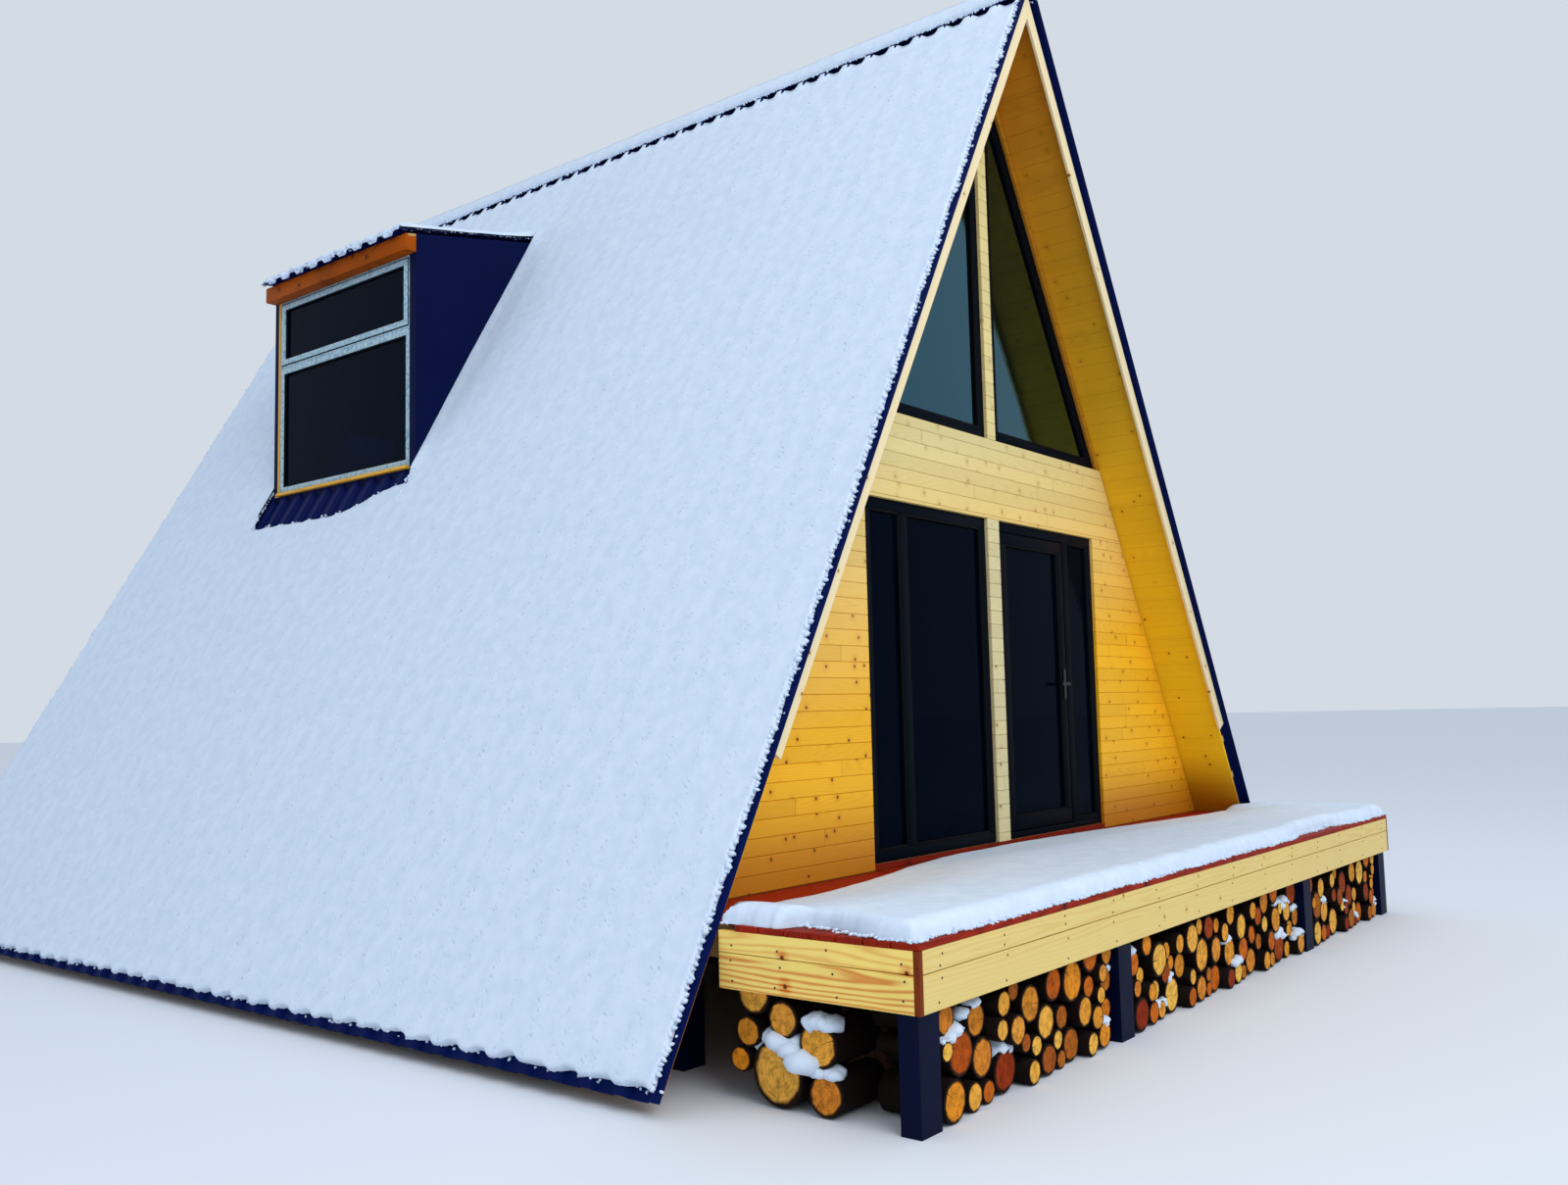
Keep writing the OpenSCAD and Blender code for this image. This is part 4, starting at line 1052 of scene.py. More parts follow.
@dataclass
class Roof:
    """Sheets, boards under them, ridge cap, barge boards and the framing below."""

    size: Sizes
    bench: Bench
    board: float = 0.12
    joint: float = 0.0004
    # Depths of the boards' two faces under the sheet's crowns.
    inner: float = 0.08
    outer: float = 0.06
    barge_t: float = 0.022
    barge_h: float = 0.098
    barge_length: float = 6.02
    # How deep the barge boards' top edge lies at the ridge, and how much less at the foot.
    barge_seat: float = 0.038
    barge_drop: float = 0.033

    def build(self) -> None:
        """Builds the roof's pieces."""
        for side in Side:
            name = side.name.lower()
            self.soffit(side, name)
            for finish, node in (("sheet", "roof_sheet_"), ("rafter", "rafters_"), ("lining", "lining_")):
                self.bench.coat(finish, node + name)
        self.bench.coat("sheet", "ridge_cap")
        self.bench.coat("beam_y", "laths")
        self.barge("front", self.size.verge)
        self.barge("back", self.size.back_verge - self.barge_t)

    def soffit(self, side: Side, name: str) -> None:
        """The boards under the sheet, seen as the soffit.

        Args:
            side: Which slope.
            name: The slope's name.
        """
        s, b = self.size, self.bench
        y0, y1 = s.verge + self.barge_t, s.back_verge - self.barge_t
        length = (s.apex(self.outer) - s.foot) / math.sin(s.pitch) + 0.04
        low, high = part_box("dormer_cheeks")
        curb, top = -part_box("dormer_curb")[0].x, -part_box("dormer_roof_boards")[1].x
        spans, u = [], 0.0
        while u < length:
            ends = [(y0, y1)]
            # Where the boards' middle lies, to find which of them the dormer interrupts.
            x_mid = (u + self.board / 2) * math.cos(s.pitch) - 0.07 * math.sin(s.pitch)
            if side is Side.LEFT and top - 0.06 < x_mid < curb + 0.06:
                ends = [(y0, low.y - 0.006), (high.y + 0.006, y1)]
            for a, c in ends:
                a, c = sorted((side.value * a, side.value * c))
                spans.append(((u + self.joint, a, -self.inner), (u + self.board - self.joint, c, -self.outer)))
            u += self.board
        obj = b.boards(spans, 0.001)
        obj.data.transform(s.slope(side))
        b.cut(obj, ((0, 0, s.foot), (0, 0, -1)), ((side.value * 0.0005, 0, 0), (-side.value, 0, 0)))
        b.finish(f"soffit_boards_{name}", obj, "soffit", "soffit", (f"roof_boards_{name}",))

    def barge(self, name: str, y0: float) -> None:
        """Both barge boards of one gable, slightly askew as they are nailed.

        Args:
            name: Which gable.
            y0: Front of the boards.
        """
        s, b, parts = self.size, self.bench, []
        skew = Matrix.Rotation(-math.asin(self.barge_drop / self.barge_length), 4, "Y")
        for side in Side:
            a, c = sorted((side.value * y0, side.value * (y0 + self.barge_t)))
            obj = b.block((-0.3, a, -self.barge_h), (self.barge_length, c, 0.0), 0.003, 2)
            obj.data.transform(s.slope(side) @ Matrix.Translation((0, 0, -self.barge_seat)) @ skew)
            parts.append(b.cut(obj, ((side.value * 0.001, 0, 0), (-side.value, 0, 0))))
        b.finish(f"barge_{name}", b.join(*parts), "barge", "barge", (f"barge_boards_{name}",))


def ease(t: float) -> float:
    """Smooth step from 0 to 1."""
    t = min(max(t, 0.0), 1.0)
    return t * t * (3 - 2 * t)


def dome(edge: float, width: float) -> float:
    """Height of a rounded edge, from 0 at the rim to 1 at a width from it."""
    return math.sqrt(1 - (1 - min(max(edge, 0.0) / width, 1.0)) ** 2)


def rough(*where: float) -> float:
    """Smooth noise between -1 and 1 at a place."""
    return noise.noise(Vector((*where, 0.37)[:3]))


def lines(marks: list[float], step: float, fine: tuple[float, ...] = ()) -> list[float]:
    """Places of grid lines through given marks.

    Args:
        marks: Places that get a line, lowest first.
        step: Spacing between them, as near as it fits.
        fine: Extra lines at these distances from both ends.

    Returns:
        All places, lowest first.
    """
    out = {marks[-1], *(marks[0] + f for f in fine), *(marks[-1] - f for f in fine)}
    for a, b in zip(marks, marks[1:]):
        n = max(1, round((b - a) / step))
        out.update(a + (b - a) * k / n for k in range(n))
    return sorted(out)


def walk(start: float, end: float, short: float, long: float) -> Iterator[float]:
    """Walks from start to end in random strides.

    Args:
        start: The first place.
        end: Where it stops.
        short: The shortest stride.
        long: The longest stride.

    Yields:
        Each place.
    """
    while start < end:
        yield start
        start += random.uniform(short, long)


@dataclass
class Crumbs:
    """Small lumps of snow along the edges of the snow cover."""

    bench: Bench
    places: list[Matrix] = field(default_factory=list)

    def put(self, point: Vector, radius: float) -> None:
        """Notes one lump.

        Args:
            point: Its middle.
            radius: Its size.
        """
        turn = Matrix.Rotation(random.uniform(0, 6.28), 4, (random.uniform(-1, 1), random.uniform(-1, 1), 1.0))
        grow = Matrix.Diagonal((radius * random.uniform(0.8, 1.5), radius, radius * random.uniform(0.7, 1.1), 1.0))
        self.places.append(Matrix.Translation(point) @ turn @ grow)

    def tooth(self, point: Vector, turn: Matrix, width: float, reach: float) -> None:
        """Notes one lump drawn out along the turned Y axis.

        Args:
            point: Its middle.
            turn: The frame in which it lies.
            width: Half its width.
            reach: Half its length.
        """
        lean = Matrix.Rotation(random.uniform(-0.5, 0.5), 4, "Z")
        grow = Matrix.Diagonal((width, reach, width * 0.9, 1.0))
        self.places.append(Matrix.Translation(point) @ turn.to_3x3().to_4x4() @ lean @ grow)

    def build(self) -> None:
        """Makes all lumps as one piece from one template."""
        lump = self.bench.start("ico_sphere", subdivisions=1, radius=1)
        for v in lump.data.vertices:
            v.co *= 0.82 + 0.3 * abs(rough(*(v.co * 1.7)))
        self.bench.finish("snow_crumbs", self.bench.repeat(lump, self.places), "snow", smooth=180)


@dataclass
class Snow:
    """Fresh snow on both slopes, the ridge, the dormer's roof and the deck."""

    size: Sizes
    bench: Bench
    thick: float = 0.026
    top: float = 0.160
    foot: float = 7.680
    hole_foot: float = 3.865
    bare: float = 0.042
    wing: float = 0.148
    eave: float = 1.908
    dormer_thick: float = 0.058
    deck_thick: float = 0.090
    # The share of the snow's thickness that is left in the wall's lee.
    lee_share: float = 0.36

    def build(self) -> None:
        """Builds every layer of snow."""
        self.crumbs = Crumbs(self.bench)
        self.hole_top = -2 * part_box("dormer_roof_sheet")[1].x + 0.016
        for side in Side:
            self.slope(side)
            self.rims(side)
        self.ridge()
        self.dormer_roof()
        self.deck()
        self.crumbs.build()

    def crown(self, y: float, first: float = FIRST_RIB) -> float:
        """How much a place lies over a rib of the sheet: 1 on the crown, 0 in the pan."""
        return 1 - ease((abs((y - first + RIB / 2) % RIB - RIB / 2) - 0.030) / 0.026)

    def verge(self, u: float, seed: float) -> float:
        """How far short of the sheet's edge the snow ends, u down the slope."""
        return self.bare + 0.008 * rough(u * 9, seed) + 0.010 * rough(u * 26, seed + 1.0)

    def foot_line(self, y: float) -> float:
        """Distance down the slope at which the snow begins under the dormer's apron.

        Args:
            y: Place along the ridge.

        Returns:
            The distance.
        """
        near, far = DORMER_Y
        pull = ease(1 - (near - y) / 0.5) if y < near else ease(1 - (y - near) / 0.85)
        past = ease((y - far) / 0.3) if y > far else 0.0
        return self.hole_foot - 0.20 * pull * (1 - past) + 0.012 * rough(y * 9, 4.0) + 0.009 * rough(y * 31, 8.0)

    def slope(self, side: Side) -> None:
        """The snow on one slope.

        Args:
            side: Which slope.
        """
        s, sign, left = self.size, side.value, side is Side.LEFT
        frame_of, (near, far) = s.slope(side), DORMER_Y
        y0, y1 = s.edge + 0.006, s.back_edge - 0.006
        ys = lines([y0, near, far, y1] if left else [y0, y1], 0.0357, (0.003, 0.008, 0.016))
        marks = [self.top, self.hole_top, self.hole_foot, self.foot] if left else [self.top, self.foot]

        def shape(u: float, v: float) -> tuple:
            """The snow's surface on the slope.

            Args:
                u: Place down the slope.
                v: Place along the slope.

            Returns:
                The point.
            """
            y, row = sign * v, u
            if left and near - 0.5 < y < far + 0.3:
                lift = ease(1 - abs(u - self.hole_foot) / 0.8)
                u += (self.foot_line(y) - self.hole_foot) * lift
            rag0, rag1 = self.verge(u, 1.0), self.verge(u, 5.0)
            y += rag0 * ease(1 - (y - y0) / 0.12) - rag1 * ease(1 - (y1 - y) / 0.12)
            over = self.crown(y)
            end = self.foot - 0.014 + 0.012 * rough(y * 11, 3.0) + 0.008 * rough(y * 37, 9.0) - 0.02 * (1 - over)
            u += (end - self.foot) * ease(1 - (self.foot - u) / 0.15)
            edge = min(y - y0 - rag0, y1 - y - rag1, end - u)
            if left and near - 0.01 < y < far + 0.01 and row > self.hole_foot - 0.01:
                edge = min(edge, u - self.foot_line(y))
            full = self.thick + 0.006 * rough(u * 0.9, y * 0.9) + 0.0015 * rough(u * 8, y * 8) + 0.0018 * (over - 0.5)
            if left and self.hole_top < row < self.hole_foot - 0.1:
                full += 0.020 * ease(1 - min(abs(y - near), abs(y - far)) / 0.09)
            bed = -0.001 if min(y - y0, y1 - y) < 0.07 else -0.030 * (1 - over)
            rise = ease((u - self.top) / 0.17)
            w = (bed + (full - bed) * dome(edge, 0.014)) * rise
            return tuple(frame_of @ Vector((u, sign * y, w + (1 - rise) * (0.003 * over - 0.031 * (1 - over)))))

        def keep(u: float, v: float) -> bool:
            """Whether a cell lies outside the dormer."""
            return not (near < sign * v < far and self.hole_top < u < self.hole_foot)

        obj = self.bench.grid(lines(marks, 0.033, (0.008, 0.02)), sorted(sign * y for y in ys), shape,
                              keep if left else None)
        self.bench.finish(f"snow_{side.name.lower()}", obj, "roof_snow", smooth=180)

    def rims(self, side: Side) -> None:
        """Lumps along the edges of one slope's snow.

        Args:
            side: Which slope.
        """
        s, sign, left, crumbs, draw = self.size, side.value, side is Side.LEFT, self.crumbs, random.uniform
        frame_of, (near, far) = s.slope(side), DORMER_Y
        y0, y1 = s.edge + 0.006, s.back_edge - 0.006

        def at(u: float, y: float, w: float) -> Vector:
            """A point of the slope."""
            return frame_of @ Vector((u, sign * y, w))

        for u in walk(self.top + 0.1, self.foot, 0.016, 0.042):
            for y, out, seed in ((y0, 1, 1.0), (y1, -1, 5.0)):
                sheltered = not left and out == 1
                if sheltered and random.random() < 0.85:
                    continue
                rim, size = y + out * self.verge(u, seed), draw(0.009, 0.020)
                crumbs.tooth(at(u, rim + out * draw(-0.006, 0.006), draw(0.4, 0.8) * self.thick), frame_of, size,
                             draw(0.014, 0.040))
                if not sheltered and random.random() < 0.12:
                    crumbs.put(at(u, rim - out * draw(0.002, 0.024), 0.004), draw(0.004, 0.009))
        if left:
            for u in walk(self.hole_top + 0.3, self.hole_foot, 0.012, 0.030):
                for y, out in ((near, -1), (far, 1)):
                    crumbs.put(at(u, y + out * draw(0.0, 0.014), self.thick), draw(0.006, 0.013))
        for y in walk(y0, y1, 0.012, 0.030):
            over = self.crown(y)
            depth = draw(-0.006, 0.012) - 0.028 * (1 - over)
            if random.random() < 0.5:
                crumbs.put(at(self.foot + draw(-0.05, -0.012), y, depth), draw(0.006, 0.012))
            if left and near < y < far:
                crumbs.put(at(self.foot_line(y) + draw(-0.012, 0.02), y, 0.004 - 0.03 * (1 - over)),
                           draw(0.006, 0.014))

    def ridge(self) -> None:
        """The strip of snow over the ridge cap."""
        s, draw = self.size, random.uniform
        turned = {side: s.slope(side) for side in Side}
        half = [0, 0.15, 0.35, 0.55, 0.75, 0.88, 0.96, 1]

        def shape(t: float, y: float) -> tuple:
            """The strip's surface.

            Args:
                t: Place across, from -1 at the edge of one wing to 1 at that of the other.
                y: Place along the ridge.

            Returns:
                The point.
            """
            side = Side.RIGHT if t >= 0 else Side.LEFT
            rag = 0.010 * rough(y * 12, side.value * 3.0) + 0.007 * rough(y * 40, side.value * 5.0)
            hump = math.sqrt(max(0.0, 1 - abs(t) ** 5)) * dome(min(y - s.edge, s.back_edge - y), 0.04)
            w = 0.004 + (0.034 + 0.008 * rough(y * 1.3, 2.0) + 0.004 * rough(y * 9, 7.0)) * hump
            flat = 1 - ease(abs(t) / 0.4)
            point = turned[side] @ Vector((abs(t) * (self.wing - 0.006 + rag), side.value * y, w))
            return (point.x * (1 - flat), point.y, point.z + flat * w * 0.5)

        ys = lines([s.edge + 0.004, s.back_edge - 0.004], 0.03, (0.006, 0.014))
        obj = self.bench.grid([-t for t in half[:0:-1]] + half, ys, shape)
        self.bench.finish("snow_ridge", obj, "snow", smooth=180)
        for y in walk(s.edge + 0.01, s.back_edge, 0.014, 0.034):
            for side in Side:
                point = Vector((self.wing + draw(-0.014, 0.006), side.value * y, draw(0.002, 0.012)))
                self.crumbs.put(turned[side] @ point, draw(0.006, 0.014))

    def dormer_roof(self) -> None:
        """The snow on the dormer's low roof, thick over the ribs at the eave."""
        y0, y1, eave, draw = DORMER_Y[0] + 0.034, DORMER_Y[1] - 0.006, self.eave, random.uniform
        xs = lines([-eave, 0.055 - self.hole_top / 2], 0.034, (0.006, 0.015, 0.026))
        ys = lines([y0, y1], 0.0237, (0.006, 0.014))

        def level(x: float) -> float:
            """Height of the crowns at x."""
            return Dormer.roof_z + (-Dormer.face - abs(x)) * DORMER_TAN + 0.0565

        def shape(x: float, y: float) -> tuple:
            """The snow's surface over the dormer.

            Args:
                x: Place down the roof.
                y: Place along the eave.

            Returns:
                The point.
            """
            over = self.crown(y, DORMER_Y[0] + 0.066)
            back = (1 - over) * 0.006 + 0.004 + 0.008 * rough(y * 13, 1.5) + 0.006 * rough(y * 41, 2.5)
            x += back * ease(1 - (x + eave) / 0.3)
            edge = min(x + eave - back, y - y0 + 0.004, y1 - y + 0.004)
            full = 0.030 * ease((x + 0.75) / 0.3) + self.dormer_thick + 0.012 * rough(x * 1.6, y * 1.6)
            full += 0.008 * rough(x * 9, y * 9) + 0.010 * (over - 0.5)
            bed = -0.030 * (1 - over) + 0.001
            return (x, y, level(x) + bed + (full - bed) * dome(edge, 0.045))

        self.bench.finish("snow_dormer", self.bench.grid(xs, ys, shape), "snow", smooth=180)
        for y in walk(y0, y1, 0.010, 0.022):
            over = self.crown(y, DORMER_Y[0] + 0.066)
            x = -eave + draw(0.002, 0.024)
            self.crumbs.put(Vector((x, y, level(x) + draw(0.004, 0.040) - 0.020 * (1 - over))), draw(0.010, 0.024))
        for x in walk(-eave, -0.5, 0.015, 0.035):
            self.crumbs.put(Vector((x, y0 + draw(-0.010, 0.008), level(x) + draw(0, 0.01))), draw(0.005, 0.012))

    def deck(self) -> None:
        """The snow on the deck, up to its outer edges; the wall's lee keeps a strip bare that widens to both ends."""
        s, draw = self.size, random.uniform
        x0, x1 = -s.deck_half + 0.004, s.deck_half - 0.006
        y0, y1 = s.deck_front + 0.006, s.wall - 0.034

        def shape(x: float, y: float) -> tuple:
            """The snow's surface on the deck.

            Args:
                x: Place across the deck.
                y: Place along the deck.

            Returns:
                The point.
            """
            low = self.front_gap(x)
            high = self.lee(x) + 0.012 * rough(x * 3.1, 3.0) + 0.006 * rough(x * 14, 4.0)
            a, c = self.side_gap(y), 0.010 * rough(y * 7, 7.0)
            x += a * ease(1 - (x - x0) / 0.2) - c * ease(1 - (x1 - x) / 0.2)
            y = y0 + low + (y1 - high - y0 - low) * (y - y0) / (y1 - y0)
            edge = min(x - x0 - a, x1 - x - c, y - y0 - low, (y1 - y - high) * 0.6)
            full = self.deck_thick + 0.008 * rough(x * 0.8, y * 1.4) + 0.003 * rough(x * 6, y * 6)
            open_air = max(ease((y1 - high - y) / 0.75), ease((abs(x) - 3.15) / 0.2))
            full *= self.lee_share + (1 - self.lee_share) * open_air
            return (x, y, s.deck_top + 0.0005 + full * dome(edge, 0.06))

        obj = self.bench.grid(lines([x0, x1], 0.026, (0.007, 0.016)), lines([y0, y1], 0.030, (0.007, 0.016)), shape)
        self.bench.finish("snow_deck", obj, "snow", smooth=180)

        def tooth(x: float, y: float, turn: float, size: float, reach: float) -> None:
            """One tooth on the boards, its foot lifted by a random share of its size."""
            at = Vector((x, y, s.deck_top + draw(0.2, 0.9) * size))
            self.crumbs.tooth(at, Matrix.Rotation(turn, 4, "Z"), size, draw(*reach))

        for x in walk(x0, x1, 0.007, 0.018):
            size = draw(0.011, 0.019) if random.random() < 0.16 else draw(0.006, 0.012)
            y = max(y0 + self.front_gap(x) + draw(-0.012, 0.012), y0 + 0.012)
            tooth(x, y, 0.0, size, (0.014, 0.036))
            if random.random() < 0.3 and abs(x) < 2.9:
                y = y1 - self.lee(x) + draw(-0.02, 0.006)
                self.crumbs.put(Vector((x, y, s.deck_top + 0.004)), draw(0.004, 0.009))
        for y in walk(y0, -3.80, 0.008, 0.020):
            for x, gap in ((x0, self.side_gap(y)), (x1, 0.0)):
                size, at = draw(0.005, 0.014), x - math.copysign(gap + draw(-0.010, 0.016), x)
                at = max(at, x0 + 0.012) if x < 0 else min(at, x1 - 0.012)
                tooth(at, y, math.pi / 2, size, (0.010, 0.026))

    def side_gap(self, y: float) -> float:
        """How far short of the deck's left edge the snow ends: most beside the roof."""
        wide = 0.115 * ease((y + 4.75) / 0.7) * (1 - ease((y + 3.93) / 0.10))
        return 0.012 + wide + 0.008 * rough(y * 7, 5.0) + 0.010 * rough(y * 25, 6.0)

    def front_gap(self, x: float) -> float:
        """How far short of the deck's front edge the snow ends."""
        bare = 0.055 * ease((x - 1.1) / 0.5) * (1 - ease((x - 2.2) / 0.5))
        return max(0.0, 0.020 + bare + 0.016 * rough(x * 4, 1.0) + 0.012 * rough(x * 23, 2.0))

    def lee(self, x: float) -> float:
        """How wide the bare strip along the wall is, over its narrowest.

        Args:
            x: Place along the wall.

        Returns:
            The width.
        """
        if abs(x) > 3.28:
            return 0.335 + 0.100 * ease((abs(x) - 3.28) / 0.05)
        return 0.335 * ease((-0.6 - x) / 2.2) if x < -0.6 else 0.275 * ease((x + 0.1) / 3.3)


@dataclass
class BackGable:
    """The plain back wall: boards in front of a core, one window to each storey."""

    size: Sizes
    bench: Bench
    half: float = 0.6
    frame_y: float = 4.300
    bar: float = 0.07
    floor: float = 0.602
    loft: float = 3.45
    lower: tuple[float, float] = (1.71, 2.91)
    upper: tuple[float, float] = (3.95, 4.85)

    def build(self) -> None:
        """Builds both storeys and their windows."""
        s, b, y, w, half, rings, seals = self.size, self.bench, self.frame_y, self.bar, self.half, [], []
        self.storey("lower", self.floor, self.loft, self.lower)
        self.storey("upper", self.loft, s.apex(s.soffit), self.upper)
        for z0, z1 in (self.lower, self.upper):
            rings.append(b.ring((-half, y, z0), (half, y + w, z1), w))
            seals.append(b.ring((w - half, y + 0.045, z0 + w), (half - w, y + 0.066, z1 - w), 0.013, (), 0.003))
        b.finish("back_window_bars", b.join(*rings), "frame", "frame", ("back_window_frames",), smooth=30)
        b.finish("back_window_beads", b.join(*seals), "seal", "frame", smooth=30)
        b.coat("glass", "back_window_glass")

    def storey(self, name: str, z0: float, z1: float, window: tuple[float, float]) -> None:
        """One storey of the wall.

        Args:
            name: Which storey.
            z0: Lower edge.
            z1: Upper edge.
            window: Lower and upper edge of the window.
        """
        s, b, half, (w0, w1) = self.size, self.bench, self.half, window
        front, back = s.back_wall - s.clad, s.back_wall - s.wall_t
        reach, spans = s.half(z0, s.soffit) + 0.02, []
        for low, high in s.courses(z0, z1):
            a, c = max(low, w0), min(high, w1)
            spans += [(low, min(high, w0), -reach, reach), (max(low, w1), high, -reach, reach),
                      (a, c, -reach, -half), (a, c, half, reach)]
        spans = by_height([((x0, front, a), (x1, s.back_wall, c)) for a, c, x0, x1 in spans if c - a > s.least])
        parts = [b.boards(spans, 0.003)]
        for low, high, x0, x1 in ((max(z0, s.sill), w0, -reach, reach), (w1, z1, -reach, reach),
                                  (w0, w1, -reach, -half), (w0, w1, half, reach)):
            parts.append(b.block((x0, back, low), (x1, front, high), 0.0))
        whole = b.cut(b.join(*parts), s.plane(-1, s.soffit), s.plane(1, s.soffit))
        b.finish(f"back_boards_{name}", whole, "gable", "cladding", (f"back_wall_{name}",))


@dataclass
class Dormer:
    """The dormer on the left slope: film-covered window, stained header, sill, sheets."""

    size: Sizes
    bench: Bench
    face: float = -1.7603
    window: tuple[float, float] = (3.726, 5.441)
    transom: float = 4.811
    bar: float = 0.07
    slim: float = 0.054
    sash: float = 0.046
    depth: float = 0.07
    jamb: float = 0.084
    roof_z: float = 5.571
    # How far the header stands out, and its thickness and height.
    out: float = 0.100
    head_t: float = 0.025
    head_h: float = 0.18
    sill_foot: float = 3.701

    def build(self) -> None:
        """Builds the dormer's pieces and coats the rest."""
        b, f, y0, y1 = self.bench, self.face, DORMER_Y[0] + self.jamb, DORMER_Y[1] - self.jamb
        (z0, z1), back, high, edge, gap = self.window, f + self.depth, self.transom + self.bar / 2, 0.026, 0.016
        bars = [b.ring((f, y0, z0), (back, y1, high), self.slim), b.ring((f, y0, high), (back, y1, z1), self.bar)]
        # The opening sash of the upper light is a slim ring proud of its frame, in a black seal.
        bars.append(b.ring((f - 0.010, y0 + edge, high + edge), (f + 0.02, y1 - edge, z1 - edge), self.sash, (), 0.005))
        b.finish("dormer_window_bars", b.join(*bars), "film", "film", ("dormer_window_frame",), smooth=30)
        lights = [(y0 + w, y1 - w, low + w, up - w) for w, low, up in ((self.slim, z0, high), (self.bar, high, z1))]
        beads = [b.ring((f + 0.004, a, c), (f + 0.026, d, e), 0.012, (), 0.003) for a, d, c, e in lights]
        beads.append(b.ring((f - 0.0015, y0 + gap, high + gap), (f + 0.004, y1 - gap, z1 - gap), 0.0095, (), 0.0))
        b.finish("dormer_beads", b.join(*beads), "seal", "frame", smooth=30)
        panes = [b.block((f + 0.024, a, c), (f + 0.046, d, e), 0.001) for a, d, c, e in lights]
        b.finish("dormer_panes", b.join(*panes), "dormer_glass", "glass", ("dormer_glass",))
        self.boards()
        b.coat("cheek", "dormer_cheeks", "dormer_curb")
        b.coat("cheek_sheet", "dormer_cheek_sheets")
        b.coat("beam_y", "dormer_roof_boards")
        b.coat("sheet", "dormer_roof_sheet", "dormer_apron")

    def boards(self) -> None:
        """Header, sill, and the strips and flashings beside the window."""
        b, f, (y0, y1), (z0, z1), front = self.bench, self.face, DORMER_Y, self.window, self.face - self.out
        inner, back, top = front + self.head_t, f + self.depth, z1 + self.head_h
        head = b.block((front, y0, z1), (inner, y1, top), 0.0)
        b.cut(head, ((f, 0, self.roof_z + 0.0204), (-DORMER_TAN, 0, 1)))
        fill = b.block((inner, y0, z1), (f - 0.0002, y1, top), 0.0)
        packer = b.block((f - 0.0001, y0 + 0.085, z1), (back, y1 - 0.085, top), 0.0)
        rest = b.cut(b.join(fill, packer), ((f, 0, self.roof_z - 0.0001), (-DORMER_TAN, 0, 1)))
        b.finish("dormer_header_board", b.soften(b.join(head, rest), 0.003), "header", "header", ("dormer_header",),
                 smooth=30)
        sill = b.block((f - 0.040, y0 + self.jamb, self.sill_foot), (back, y1 - self.jamb, z0), 0.003, 2)
        b.finish("dormer_sill", sill, "sill", "sill", ("dormer_sill_board",), smooth=30)
        strip = b.block((f - 0.006, y1 - 0.082, 3.72), (f - 0.0005, y1 - 0.060, z1 - 0.002), 0.001)
        b.finish("dormer_jamb_strips", strip, "yellow", "sill")
        trims = [b.block((f - 0.004, a, 3.71), (f - 0.0003, c, z1 - 0.001), 0.001)
                 for a, c in ((y0, y0 + 0.083), (y1 - 0.058, y1))]
        trims.append(b.block((f - 0.0030, y0 + 0.002, 3.615), (f - 0.0004, y1 - 0.002, 3.7005), 0.0005))
        b.finish("dormer_corner_flashings", b.join(*trims), "cheek_sheet", "sheet")


